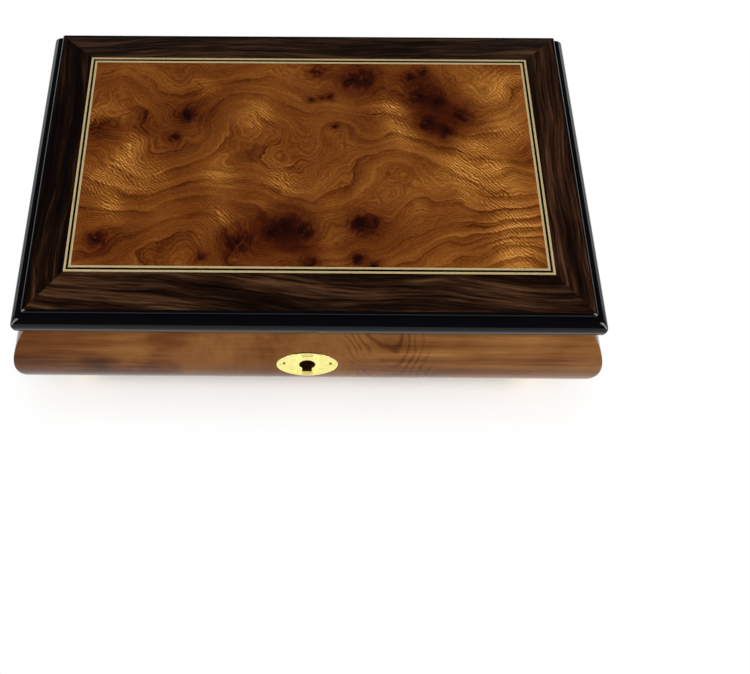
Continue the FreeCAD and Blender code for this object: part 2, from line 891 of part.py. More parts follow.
def comb_screws(grow):
    return [
        turned([
            (as_size(0), s.comb_screw_head_height),
            (as_size(0), -s.comb_screw_length),
            (s.comb_screw_radius + grow, -s.comb_screw_length),
            (s.comb_screw_radius + grow, as_size(0)),
            (s.comb_screw_head_radius + grow, as_size(0)),
            (s.comb_screw_head_radius + grow, s.comb_screw_head_height),
        ], (drum_left + drum_right) / 2 + end * s.comb_screw_spread, comb_end + s.comb_heel / 2, comb_top)
        for end in (-1, 1)
    ]


node(group(*bed_screws(as_size(0))), "bedplate_screws")
node(group(*comb_screws(as_size(0))), "comb_screws")
node(
    cut(
        fuse(box((bed_left, bed_front, bed), (bed_right, bed_back, bed_top)), comb_rest, *posts),
        shaft_bore,
        arbor_way,
        *bed_screws(s.running_gap),
        *comb_screws(s.running_gap),
    ),
    "movement_bedplate",
)

# Comb: a steel plate slotted into tuned teeth that reach for the cylinder
comb_blank = plate([
    (drum_left, comb_end),
    (drum_right, comb_end),
    (drum_right, comb_tip),
    (drum_left, comb_tip),
], comb_top - s.comb_thickness, s.comb_thickness)
tooth_pitch = s.drum_length / s.comb_teeth
slot = sketch_on(comb_blank, "XY_Plane", comb_top - s.comb_thickness - s.overrun)
first_slot = drum_left + tooth_pitch
rectangle(slot, first_slot - s.comb_slot / 2, comb_root, first_slot + s.comb_slot / 2, comb_tip + s.overrun)
slot_cut = comb_blank.newObject("PartDesign::Pocket", "slot")
slot_cut.Profile = slot
slot_cut.Reversed = True
bind(slot_cut, "Length", s.comb_thickness + 2 * s.overrun)
linear(comb_blank, [slot_cut], tooth_pitch * (s.comb_teeth - 2), s.comb_teeth - 1)
node(cut(comb_blank, *comb_screws(s.running_gap)), "comb")

# Gear teeth: one straight-sided tooth, repeated round its wheel
TOOTH_TIP_SHARE = 0.26
TOOTH_ROOT_SHARE = 0.52


def spur_teeth(body, count, module, low, face):
    """Teeth round the body's X axis, the first one at the top, from low over the face width."""
    radius = module * count / 2
    pitch = math.pi * module
    sketch = sketch_on(body, "YZ_Plane", low)
    root_radius = radius - s.tooth_dedendum
    outline(sketch, [
        (-pitch * TOOTH_ROOT_SHARE / 2, root_radius - s.tooth_dedendum),
        (pitch * TOOTH_ROOT_SHARE / 2, root_radius - s.tooth_dedendum),
        (pitch * TOOTH_ROOT_SHARE / 2, root_radius),
        (pitch * TOOTH_TIP_SHARE / 2, radius + s.tooth_addendum),
        (-pitch * TOOTH_TIP_SHARE / 2, radius + s.tooth_addendum),
        (-pitch * TOOTH_ROOT_SHARE / 2, root_radius),
    ])
    tooth = pad(body, sketch, face)
    polar(body, [tooth], "X_Axis", count)


def shaft_turned(corners):
    """A body turned about its own X axis; the outline holds distance along the axis and radius."""
    body = new_body()
    sketch = sketch_on(body, "XY_Plane")
    outline(sketch, corners)
    revolve(body, sketch, "H_Axis")
    return body


# Spring barrel: a brass cup with crown teeth on its lip, and the wound mainspring inside it
half_crown = s.crown_face / 2
boss_radius = s.arbor_radius + s.running_gap + s.cup_base
cup = new_body()
cup_section = sketch_on(cup, "XZ_Plane")
outline(cup_section, [
    (s.arbor_radius + s.running_gap, as_size(0)),
    (crown_radius + half_crown, as_size(0)),
    (crown_radius + half_crown, s.cup_height),
    (crown_radius - half_crown, s.cup_height),
    (crown_radius - half_crown, s.cup_base),
    (boss_radius, s.cup_base),
    (boss_radius, 2 * s.cup_base),
    (s.arbor_radius + s.running_gap, 2 * s.cup_base),
])
revolve(cup, cup_section)
crown_pitch = math.pi * s.crown_module
crown_tooth = sketch_on(cup, "YZ_Plane", crown_radius - half_crown)
outline(crown_tooth, [
    (-crown_pitch * TOOTH_ROOT_SHARE / 2, s.cup_height - s.tooth_dedendum),
    (crown_pitch * TOOTH_ROOT_SHARE / 2, s.cup_height - s.tooth_dedendum),
    (crown_pitch * TOOTH_ROOT_SHARE / 2, s.cup_height),
    (crown_pitch * TOOTH_TIP_SHARE / 2, s.cup_height + s.tooth_dedendum + s.tooth_addendum),
    (-crown_pitch * TOOTH_TIP_SHARE / 2, s.cup_height + s.tooth_dedendum + s.tooth_addendum),
    (-crown_pitch * TOOTH_ROOT_SHARE / 2, s.cup_height),
])
polar(cup, [pad(cup, crown_tooth, s.crown_face)], "Z_Axis", s.crown_teeth)
half_tooth_turn = FreeCAD.Rotation(FreeCAD.Vector(0, 0, 1), 180 / s.crown_teeth.value)
place(cup, movement_x, movement_y, cup_low, half_tooth_turn)
node(cup, "spring_barrel")


def spiral_face(inner, step, turns, thickness):
    """A flat spiral band of half circles that grow by half a step each."""
    edges = []
    radii = [inner + step * half / 2 for half in range(2 * turns)]
    for offset, order in ((0, 1), (thickness, -1)):
        track = []
        centre = 0
        for index, radius in enumerate(radii):
            sign = 1 if index % 2 == 0 else -1
            start = FreeCAD.Vector(centre + sign * (radius + offset), 0, 0)
            top = FreeCAD.Vector(centre, sign * (radius + offset), 0)
            end = FreeCAD.Vector(centre - sign * (radius + offset), 0, 0)
            track.append(Part.Arc(start, top, end).toShape())
            if index + 1 < len(radii):
                centre += sign * (radii[index + 1] - radius)
        edges.append(track[::order])
    first = Part.makeLine(edges[0][0].firstVertex().Point, edges[1][-1].firstVertex().Point)
    last = Part.makeLine(edges[0][-1].lastVertex().Point, edges[1][0].lastVertex().Point)
    return Part.Face(Part.Wire(Part.__sortEdges__(edges[0] + [last] + edges[1] + [first])))


spring_inner = boss_radius.value + s.cup_base.value
spring_outer = crown_radius.value - half_crown.value - s.spring_lift.value
spring_turns = round(s.spring_turns.value)
spring_step = (spring_outer - s.spring_thickness.value - spring_inner) / spring_turns
band = spiral_face(spring_inner, spring_step, spring_turns, s.spring_thickness.value)
mainspring = doc.addObject("Part::Feature", "mainspring")
mainspring.Shape = band.extrude(FreeCAD.Vector(0, 0, s.spring_height.value))
place(mainspring, movement_x, movement_y, cup_low + s.cup_base + s.spring_lift)
node(mainspring, "mainspring")

# Winding arbor through the bottom board, and the key on its lower end
arbor_low = bed - s.arbor_drop
hub_top = arbor_low + s.key_hub_rise
key_low = s.key_floor_gap
key_high = key_low + s.key_height
node(
    rod("z", (movement_x, movement_y, arbor_low), bed_top + s.arbor_rise, s.arbor_radius),
    "winding_arbor",
)
key_end = s.key_height / 2
key_run = s.key_width / 2 - key_end
key_body = new_body()
wings = sketch_on(key_body, "XZ_Plane")
key_middle = key_low + key_end
outline(wings, [
    (-key_run, key_low),
    (key_run, key_low, key_end, 1),
    (key_run + key_end, key_middle, key_end, 1),
    (key_run, key_high),
    (-key_run, key_high, key_end, 1),
    (-key_run - key_end, key_middle, key_end, 1),
])
pad(key_body, wings, s.key_thickness, "Symmetric")
hub = sketch_on(key_body, "XY_Plane", key_low)
circle(hub, 0, 0, s.key_hub_radius)
pad(key_body, hub, hub_top - key_low)
eyes = sketch_on(key_body, "XZ_Plane")
for end in (-1, 1):
    circle(eyes, end * key_run, key_middle, s.key_eye_radius)
pocket_through(key_body, eyes)
socket = sketch_on(key_body, "XY_Plane", hub_top)
circle(socket, 0, 0, s.arbor_radius)
socket_cut = key_body.newObject("PartDesign::Pocket", "socket")
socket_cut.Profile = socket
bind(socket_cut, "Length", s.key_hub_rise)
place(key_body, movement_x, movement_y, 0)
node(key_body, "winding_key")

# Pinned cylinder with its spur wheel at one end and the train wheel at the other
shaft_left = -s.spur_face / 2 - s.post_gap
half_spur = s.spur_face / 2
cylinder = shaft_turned([
    (shaft_left, as_size(0)),
    (right_post - spur_x + s.post_thickness, as_size(0)),
    (right_post - spur_x + s.post_thickness, s.shaft_radius),
    (wheel_right - spur_x, s.shaft_radius),
    (wheel_right - spur_x, wheel_radius - s.tooth_dedendum),
    (wheel_left - spur_x, wheel_radius - s.tooth_dedendum),
    (wheel_left - spur_x, s.shaft_radius),
    (drum_right - spur_x, s.shaft_radius),
    (drum_right - spur_x, s.drum_radius),
    (drum_left - spur_x, s.drum_radius),
    (drum_left - spur_x, s.shaft_radius),
    (half_spur, s.shaft_radius),
    (half_spur, spur_radius - s.tooth_dedendum),
    (-half_spur, spur_radius - s.tooth_dedendum),
    (-half_spur, s.shaft_radius),
    (shaft_left, s.shaft_radius),
])
spur_teeth(cylinder, s.spur_teeth, s.crown_module, -half_spur, s.spur_face)
spur_teeth(cylinder, s.wheel_teeth, s.train_module, wheel_left - spur_x, s.wheel_face)
place(cylinder, spur_x, movement_y, shaft_z)
# the tune: each track's pins step round the drum by a golden-angle walk
TUNE_STEP_SHARE = 0.381966
notes = []
for track in range(round(s.comb_teeth.value)):
    for beat in range(round(s.notes_per_track.value)):
        number = track * round(s.notes_per_track.value) + beat
        angle = 360 * (number * TUNE_STEP_SHARE % 1)
        pin = Part.makeBox(
            s.note_width.value,
            s.note_width.value,
            s.drum_radius.value + s.note_height.value,
            FreeCAD.Vector(-s.note_width.value / 2, -s.note_width.value / 2, 0),
        )
        pin.rotate(FreeCAD.Vector(), FreeCAD.Vector(1, 0, 0), angle)
        pin.translate(FreeCAD.Vector(drum_left.value + tooth_pitch.value * (track + 0.5), 0, 0))
        notes.append(pin)
tune = doc.addObject("Part::Feature", "tune")
tune.Shape = notes[0].multiFuse(notes[1:])
place(tune, 0, movement_y, shaft_z)
node(fuse(cylinder, tune), "music_cylinder")

# Governor: a wheel with a pinion drives a worm whose fly beats the air
train_left = wheel_left - s.moving_gap
train_right = right_cheek + s.cheek_thickness
worm_wheel_left = worm_x - s.worm_wheel_face / 2
worm_wheel_root = worm_wheel_radius - s.tooth_dedendum
pinion_root = pinion_radius - s.tooth_dedendum
train = shaft_turned([
    (train_left - wheel_left, as_size(0)),
    (train_right - wheel_left, as_size(0)),
    (train_right - wheel_left, s.worm_shaft_radius),
    (worm_wheel_left + s.worm_wheel_face - wheel_left, s.worm_shaft_radius),
    (worm_wheel_left + s.worm_wheel_face - wheel_left, worm_wheel_root),
    (worm_wheel_left - wheel_left, worm_wheel_root),
    (worm_wheel_left - wheel_left, s.worm_shaft_radius),
    (s.pinion_face - s.moving_gap, s.worm_shaft_radius),
    (s.pinion_face - s.moving_gap, pinion_root),
    (train_left - wheel_left, pinion_root),
])
spur_teeth(train, s.pinion_teeth, s.train_module, train_left - wheel_left, s.pinion_face)
spur_teeth(train, s.worm_wheel_teeth, s.worm_module, worm_wheel_left - wheel_left, s.worm_wheel_face)
# the pinion turns until a gap between its teeth faces the wheel's nearest tooth
wheel_turn = (90 + s.train_drop_angle.value) * s.wheel_teeth.value / 360
tooth_shift = wheel_turn - round(wheel_turn)
pinion_phase = 90 - s.train_drop_angle.value - (0.5 + tooth_shift) * 360 / s.pinion_teeth.value
place(train, wheel_left, train_y, train_z, FreeCAD.Rotation(FreeCAD.Vector(1, 0, 0), pinion_phase))
node(train, "governor_wheel")

base_top = bed_top + s.frame_base
cheeks = [
    box(
        (left, train_y - s.cheek_width / 2, bed_top),
        (left + s.cheek_thickness, train_y + s.cheek_width / 2, train_z + s.cheek_width / 2),
    )
    for left in (left_cheek, right_cheek)
]
frame_back = plunger_y + s.fly_radius + s.frame_back_gap
frame_end = frame_back + s.frame_arm
frame_left = worm_x - s.worm_radius
frame_right = worm_x + s.worm_radius
frame_parts = [
    box((left_cheek, train_y - s.cheek_width / 2, bed_top), (train_right, frame_end, base_top)),
    box((frame_left, frame_back, bed_top), (frame_right, frame_end, frame_top)),
    box(
        (frame_left, plunger_y - s.worm_radius, frame_top),
        (frame_right, frame_end, frame_top + s.frame_arm),
    ),
]
train_bore = rod(
    "x",
    (left_cheek - s.overrun, train_y, train_z),
    train_right + s.overrun,
    s.worm_shaft_radius + s.running_gap,
)
worm_bore = rod(
    "z",
    (worm_x, plunger_y, base_top - s.frame_base / 2),
    frame_top + s.frame_arm + s.overrun,
    s.worm_shaft_radius + s.running_gap,
)
node(cut(fuse(*cheeks, *frame_parts), train_bore, worm_bore), "governor_frame")

worm_pitch = math.pi * s.worm_module
thread_low = train_z - worm_pitch * s.worm_turns / 2
thread_high = train_z + worm_pitch * s.worm_turns / 2
worm = turned([
    (as_size(0), base_top - s.frame_base / 2 + s.running_gap),
    (s.worm_shaft_radius, base_top - s.frame_base / 2 + s.running_gap),
    (s.worm_shaft_radius, base_top + s.moving_gap),
    (s.worm_core_radius, base_top + s.moving_gap),
    (s.worm_core_radius, fly_high),
    (s.worm_shaft_radius, fly_high),
    (s.worm_shaft_radius, frame_top + s.frame_arm),
    (as_size(0), frame_top + s.frame_arm),
], worm_x, plunger_y, 0)
thread = sketch_on(worm, "XZ_Plane")
THREAD_ROOT_SHARE = 0.46
THREAD_TIP_SHARE = 0.24
outline(thread, [
    (s.worm_core_radius - s.running_gap, thread_low - worm_pitch * THREAD_ROOT_SHARE / 2),
    (s.worm_radius + s.worm_thread_rise, thread_low - worm_pitch * THREAD_TIP_SHARE / 2),
    (s.worm_radius + s.worm_thread_rise, thread_low + worm_pitch * THREAD_TIP_SHARE / 2),
    (s.worm_core_radius - s.running_gap, thread_low + worm_pitch * THREAD_ROOT_SHARE / 2),
])
doc.recompute()
helix = worm.newObject("PartDesign::AdditiveHelix", "thread")
helix.Profile = thread
helix.ReferenceAxis = (thread, ["V_Axis"])
helix.Mode = "pitch-height-angle"
bind(helix, "Pitch", worm_pitch)
bind(helix, "Height", thread_high - thread_low)
# the worm turns until the gap of its thread takes the worm wheel's nearest tooth
wheel_step = 360 / s.worm_wheel_teeth.value
tooth_lag = 90 + pinion_phase - wheel_step * round((90 + pinion_phase) / wheel_step)
tooth_rise = worm_wheel_radius.value * math.radians(tooth_lag)
worm_phase = 360 * (0.25 - s.worm_turns.value / 2 - tooth_rise / worm_pitch.value)
place(worm, worm_x, plunger_y, 0, FreeCAD.Rotation(FreeCAD.Vector(0, 0, 1), worm_phase))
fly = sketch_on(worm, "XY_Plane", fly_low)
rectangle(fly, -s.fly_radius, -s.fly_thickness / 2, s.fly_radius, s.fly_thickness / 2)
pad(worm, fly, s.fly_height)
node(worm, "governor_fly")

# The plunger's arm lies just above the fly when the lid is shut
arm_low = fly_high + s.stop_arm_gap
arm_high = arm_low + s.stop_arm_width
plunger_top = rim_top + s.lid_gap - s.plunger_top_gap
plunger_pin = rod("z", (*bush_spot, arm_low), plunger_top, s.plunger_radius)
stop_arm = box(
    (plunger_x - s.stop_arm_reach, plunger_y - s.stop_arm_width / 2, arm_low),
    (plunger_x, plunger_y + s.stop_arm_width / 2, arm_high),
)
node(fuse(plunger_pin, stop_arm), "stop_plunger")
bush_hole = rod("z", (*bush_spot, bush_low), rim_top + s.overrun, s.bush_radius)
pin_way = rod("z", (*bush_spot, arm_low - s.moving_gap), rim_top, s.plunger_radius + s.moving_gap)
arm_half_way = s.stop_arm_width / 2 + s.moving_gap
arm_way = box(
    (inner_x - s.overrun, plunger_y - arm_half_way, arm_low - s.moving_gap),
    (plunger_x, plunger_y + arm_half_way, arm_high + s.plunger_travel + s.moving_gap),
)
node(cut(walls["right"], bush_hole, pin_way, arm_way), "right_wall")
node(walls["left"], "left_wall")

# Bottom board between the walls, with the key's hole and the movement's screws
key_hole = rod(
    "z",
    (movement_x, movement_y, case_bottom - s.overrun),
    board_top + s.overrun,
    s.key_hub_radius + s.moving_gap,
)
node(
    cut(
        box((-half_open_x, -half_open_y, case_bottom), (half_open_x, half_open_y, board_top)),
        key_hole,
        *bed_screws(s.running_gap),
    ),
    "bottom_board",
)

# Knuckled hinge: two leaves whose knuckles alternate along one pin
half_hinge = s.hinge_length / 2
knuckle_pitch = s.hinge_length / s.knuckle_count
knuckle_length = knuckle_pitch - s.knuckle_gap
leaf_edge = hinge_y - s.barrel_radius - s.leaf_relief
case_leaf_front = hinge_y - s.case_leaf_reach
lid_leaf_front = hinge_y - s.lid_leaf_reach
lid_leaf_low = lid_bottom + s.underside_thickness - s.leaf_thickness


def hinge_leaf(front, seat, first, count):
    """A leaf plate with chamfered corners, and a row of knuckles joined to it by tongues."""
    body = plate([
        (-half_hinge + s.leaf_corner, front),
        (half_hinge - s.leaf_corner, front),
        (half_hinge, front + s.leaf_corner),
        (half_hinge, leaf_edge),
        (-half_hinge, leaf_edge),
        (-half_hinge, front + s.leaf_corner),
    ], seat, s.leaf_thickness)
    middle = knuckle_pitch * (first + 0.5) - half_hinge
    tongue = sketch_on(body, "YZ_Plane", middle)
    rectangle(tongue, leaf_edge - s.leaf_relief, seat, hinge_y, seat + s.leaf_thickness)
    tongue_pad = pad(body, tongue, knuckle_length, "Symmetric")
    knuckle = sketch_on(body, "YZ_Plane", middle)
    circle(knuckle, hinge_y, hinge_z, s.barrel_radius)
    knuckle_pad = pad(body, knuckle, knuckle_length, "Symmetric")
    linear(body, [tongue_pad, knuckle_pad], 2 * knuckle_pitch * (count - 1), count)
    bore = sketch_on(body, "YZ_Plane")
    circle(bore, hinge_y, hinge_z, s.pin_radius + s.running_gap)
    body.Tip = pocket_through(body, bore)
    return body


def hinge_screws(setback, face, turn, grow):
    return [
        sunk_screw(
            end * (half_hinge - s.hinge_screw_inset), hinge_y - setback, face,
            s.hinge_screw_head_radius, s.hinge_screw_radius, s.hinge_screw_length, grow, turn,
        )
        for end in (-1, 0, 1)
    ]


case_face = wall_top + s.leaf_thickness
case_knuckles = (s.knuckle_count + 1) / 2
lid_knuckles = (s.knuckle_count - 1) / 2
case_hole_set = hinge_screws(s.case_screw_setback, case_face, UPSIDE_DOWN, s.running_gap)
lid_hole_set = hinge_screws(s.lid_screw_setback, lid_leaf_low, None, s.running_gap)
case_leaf = hinge_leaf(case_leaf_front, wall_top, 0, case_knuckles)
lid_leaf = hinge_leaf(lid_leaf_front, lid_leaf_low, 1, lid_knuckles)
node(cut(case_leaf, *case_hole_set), "hinge_case_leaf")
node(cut(lid_leaf, *lid_hole_set), "hinge_lid_leaf")
node(group(*hinge_screws(s.case_screw_setback, case_face, UPSIDE_DOWN, as_size(0))), "hinge_case_screws")
node(group(*hinge_screws(s.lid_screw_setback, lid_leaf_low, None, as_size(0))), "hinge_lid_screws")
node(rod("x", (-half_hinge, hinge_y, hinge_z), half_hinge, s.pin_radius), "hinge_pin")
barrel_room = s.barrel_radius + s.moving_gap
case_barrel_way = box(
    (-half_hinge - s.moving_gap, hinge_y - barrel_room, hinge_z - barrel_room),
    (half_hinge + s.moving_gap, half_rim_y + s.wall_bulge, wall_top + s.overrun),
)
node(cut(walls["back"], case_barrel_way, *case_hole_set, *foot_holes[2:]), "back_wall")

# Rosewood rim on the walls, cut for the ring, the plunger's bush and the case leaf
leaf_seat_cut = box(
    (-half_hinge - s.fitting_gap, case_leaf_front - s.fitting_gap, wall_top - s.overrun),
    (half_hinge + s.fitting_gap, half_rim_y + s.overrun, rim_top + s.overrun),
)
ring_seat = rod("z", (as_size(0), stud_y, wall_top - s.overrun), rim_top + s.overrun, s.ring_outer_radius)
rim_cuts = {"front": [ring_seat], "back": [leaf_seat_cut], "left": [], "right": [bush_hole]}
for side, tools in rim_cuts.items():
    strip = mitred_strip(side, half_rim_x, half_rim_y, s.rim_width, wall_top, s.rim_thickness)
    node(cut(strip, *tools) if tools else strip, f"rim_{side}")

# Suede lining on the four sides, the floor pad, the divider and the ring rolls
lining_top = rim_top - s.lining_drop
node(box((-half_open_x, -half_open_y, board_top), (half_open_x, -inner_y, lining_top)), "lining_front")
node(box((-half_open_x, inner_y, board_top), (half_open_x, half_open_y, lining_top)), "lining_back")
node(box((-half_open_x, -inner_y, board_top), (-inner_x, inner_y, lining_top)), "lining_left")
node(cut(box((inner_x, -inner_y, board_top), (half_open_x, inner_y, lining_top)), arm_way), "lining_right")

divider_right = inner_x - s.movement_room
divider_left = divider_right - s.divider_width
floor_top = board_top + s.floor_thickness
node(box((-inner_x, -inner_y, board_top), (divider_left, inner_y, floor_top)), "floor_pad")


def rolled_bar(left, right, low, high):
    """A soft bar from the front lining to the back one, with a rounded crown."""
    crown = (right - left) / 2
    body = new_body()
    section = sketch_on(body, "XZ_Plane")
    outline(section, [
        (left, low),
        (right, low),
        (right, high - crown, crown, 1),
        ((left + right) / 2, high, crown, 1),
        (left, high - crown),
    ])
    pad(body, section, 2 * (inner_y - s.soft_gap / 2), "Symmetric")
    return body


high_right = divider_left - s.soft_gap
high_left = high_right - s.high_roll_width
low_right = high_left - s.soft_gap
low_left = low_right - s.low_roll_width
node(rolled_bar(divider_left, divider_right, board_top, rim_top - s.divider_drop), "divider")
node(rolled_bar(high_left, high_right, floor_top, floor_top + s.high_roll_height), "ring_roll_high")
node(rolled_bar(low_left, low_right, floor_top, floor_top + s.low_roll_height), "ring_roll_low")

# Lift-out cover over the movement, on two ledges, with a folded pull tab
cover_top = rim_top - s.cover_drop
cover_low = cover_top - s.cover_thickness
cover_left = divider_right + s.cover_left_gap
cover_right = inner_x - s.cover_gap
cover_back = inner_y - s.cover_gap
node(
    group(*[
        box(
            (divider_right, end * inner_y - (1 + end) / 2 * s.ledge_width, cover_low - s.ledge_height),
            (inner_x, end * inner_y + (1 - end) / 2 * s.ledge_width, cover_low),
        )
        for end in (-1, 1)
    ]),
    "panel_ledges",
)
corner = s.cover_corner_radius
cover = new_body()
cover_section = sketch_on(cover, "XZ_Plane")
outline(cover_section, [
    (cover_left, cover_low),
    (cover_right, cover_low),
    (cover_right, cover_top - corner, corner, 1),
    (cover_right - corner, cover_top),
    (cover_left + corner, cover_top, corner, 1),
    (cover_left, cover_top - corner),
])
pad(cover, cover_section, 2 * cover_back, "Symmetric")
node(cover, "cover_panel")
tab_left = cover_left + corner
tab_bend = s.tab_height / 2
tab_inner = tab_bend - s.tab_skin
tab_end = tab_left + s.tab_length - tab_bend
tab_middle = cover_top + tab_bend
tab = new_body()
tab_section = sketch_on(tab, "XZ_Plane", -s.tab_place)
outline(tab_section, [
    (tab_left, cover_top),
    (tab_end, cover_top, tab_bend, 1),
    (tab_end + tab_bend, tab_middle, tab_bend, 1),
    (tab_end, cover_top + s.tab_height),
    (tab_left, cover_top + s.tab_height),
    (tab_left, cover_top + s.tab_height - s.tab_skin),
    (tab_end, cover_top + s.tab_height - s.tab_skin, tab_inner, -1),
    (tab_end + tab_inner, tab_middle, tab_inner, -1),
    (tab_end, cover_top + s.tab_skin),
    (tab_left, cover_top + s.tab_skin),
])
pad(tab, tab_section, s.tab_width, "Symmetric")
node(tab, "pull_tab")

# Lid: a core board in a mitred frame that falls away outwards, with an inlaid top and a veneered underside.
# The black edge is moulded at the front and the sides and plain at the back, where the hinge is.
core_low = lid_bottom + s.underside_thickness
core_high = lid_top - s.veneer_thickness
edge_top = lid_top - s.border_drop
border_x = half_lid_x - s.edge_width
border_front = lid_front + s.edge_width
border_back = lid_back - s.back_edge_width
border_y = (border_back - border_front) / 2
lid_middle = (border_back + border_front) / 2
shoulder_out = s.edge_thumb_radius + s.edge_ledge
thumb_top = edge_top - s.edge_shoulder_radius - s.edge_quirk
edge_profile = [
    (-s.edge_lip, lid_bottom),
    (-s.edge_base_radius, lid_bottom, s.edge_base_radius, 1),
    (as_size(0), lid_bottom + s.edge_base_radius),
    (as_size(0), thumb_top - s.edge_thumb_radius, s.edge_thumb_radius, 1),
    (-s.edge_thumb_radius, thumb_top),
    (-shoulder_out, thumb_top),
    (-shoulder_out, edge_top - s.edge_shoulder_radius, s.edge_shoulder_radius, 1),
    (-shoulder_out - s.edge_shoulder_radius, edge_top),
    (-s.edge_width, edge_top),
    (-s.edge_width, core_low),
    (-s.edge_lip, core_low),
]
# the side edges run past the back and are cut off square there
edge_end = lid_back + s.edge_width + s.overrun
beyond_back = box(
    (-half_lid_x - s.overrun, lid_back, lid_bottom - s.overrun),
    (half_lid_x + s.overrun, edge_end + s.overrun, lid_top),
)
for side in ("front", "left", "right"):
    rail = mitred_rail(
        side, edge_profile, half_lid_x, (edge_end - lid_front) / 2, as_size(0), s.edge_width,
        (edge_end + lid_front) / 2,
    )
    node(rail if side == "front" else cut(rail, beyond_back), f"lid_edge_{side}")
barrel_way = box(
    (-half_hinge - s.moving_gap, hinge_y - barrel_room, lid_bottom - s.overrun),
    (half_hinge + s.moving_gap, lid_back + s.overrun, hinge_z + barrel_room),
)
back_strip = box((-border_x, border_back, lid_bottom), (border_x, lid_back, edge_top))
node(cut(back_strip, barrel_way), "lid_edge_back")
border_profile = [
    (-s.border_width, core_low),
    (as_size(0), core_low),
    (as_size(0), edge_top),
    (-s.border_width, lid_top),
]
for side in SIDES:
    rail = mitred_rail(side, border_profile, border_x, border_y, as_size(0), s.border_width, lid_middle)
    node(cut(rail, barrel_way, *lid_hole_set) if side == "back" else rail, f"lid_border_{side}")


def lid_board(inset, low, high):
    """A flat board under or in the lid's top, measured inwards from the frame's outer edge."""
    return box(
        (inset - border_x, lid_middle + inset - border_y, low),
        (border_x - inset, lid_middle + border_y - inset, high),
    )


def line_frame(inset, width):
    return [
        mitred_strip(
            side, border_x - inset, border_y - inset, width, core_high, s.veneer_thickness, lid_middle
        )
        for side in SIDES
    ]


dark_inset = s.border_width + s.light_line_width
inner_inset = dark_inset + s.dark_line_width
panel_inset = inner_inset + s.light_line_width
light_lines = line_frame(s.border_width, s.light_line_width) + line_frame(inner_inset, s.light_line_width)
node(lid_board(s.border_width, core_low, core_high), "lid_core")
node(group(*light_lines), "stringing_light")
node(group(*line_frame(dark_inset, s.dark_line_width)), "stringing_dark")
node(lid_board(panel_inset, core_high, lid_top), "burl_panel")
lid_leaf_seat = box(
    (-half_hinge - s.fitting_gap, lid_leaf_front - s.fitting_gap, lid_bottom - s.overrun),
    (half_hinge + s.fitting_gap, lid_back, core_low),
)
stud_seat = rod("z", (as_size(0), stud_y, lid_bottom - s.overrun), core_low, s.stud_flange_radius)
underside = box(
    (s.edge_lip - half_lid_x, lid_front + s.edge_lip, lid_bottom),
    (half_lid_x - s.edge_lip, border_back, core_low),
)
node(cut(underside, lid_leaf_seat, stud_seat), "lid_underside")
node(
    turned([
        (as_size(0), core_low),
        (as_size(0), lid_bottom - s.stud_length),
        (s.stud_neck_radius, lid_bottom - s.stud_length),
        (s.stud_radius, neck_low - s.stud_tip / 2),
        (s.stud_radius, neck_low),
        (s.stud_neck_radius, neck_low),
        (s.stud_neck_radius, neck_high),
        (s.stud_radius, neck_high),
        (s.stud_radius, core_low - s.stud_flange_height),
        (s.stud_flange_radius, core_low - s.stud_flange_height),
        (s.stud_flange_radius, core_low),
    ], 0, stud_y, 0),
    "catch_stud",
)

# Checks, then one file for each node
doc.recompute()
faults = [item.Label for item in doc.Objects if "Invalid" in item.State or "Error" in item.State]
faults += [item.Label for item in nodes if item.Shape.isNull() or not item.Shape.isValid()]
if faults:
    raise RuntimeError(f"these features failed: {faults}")
os.makedirs("parts", exist_ok=True)
for item in nodes:
    item.Shape.exportStep(f"parts/{item.Label}.step")
print(len(nodes), "nodes written")
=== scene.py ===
import math

import bmesh
import bpy
from mathutils import Matrix, Vector, noise


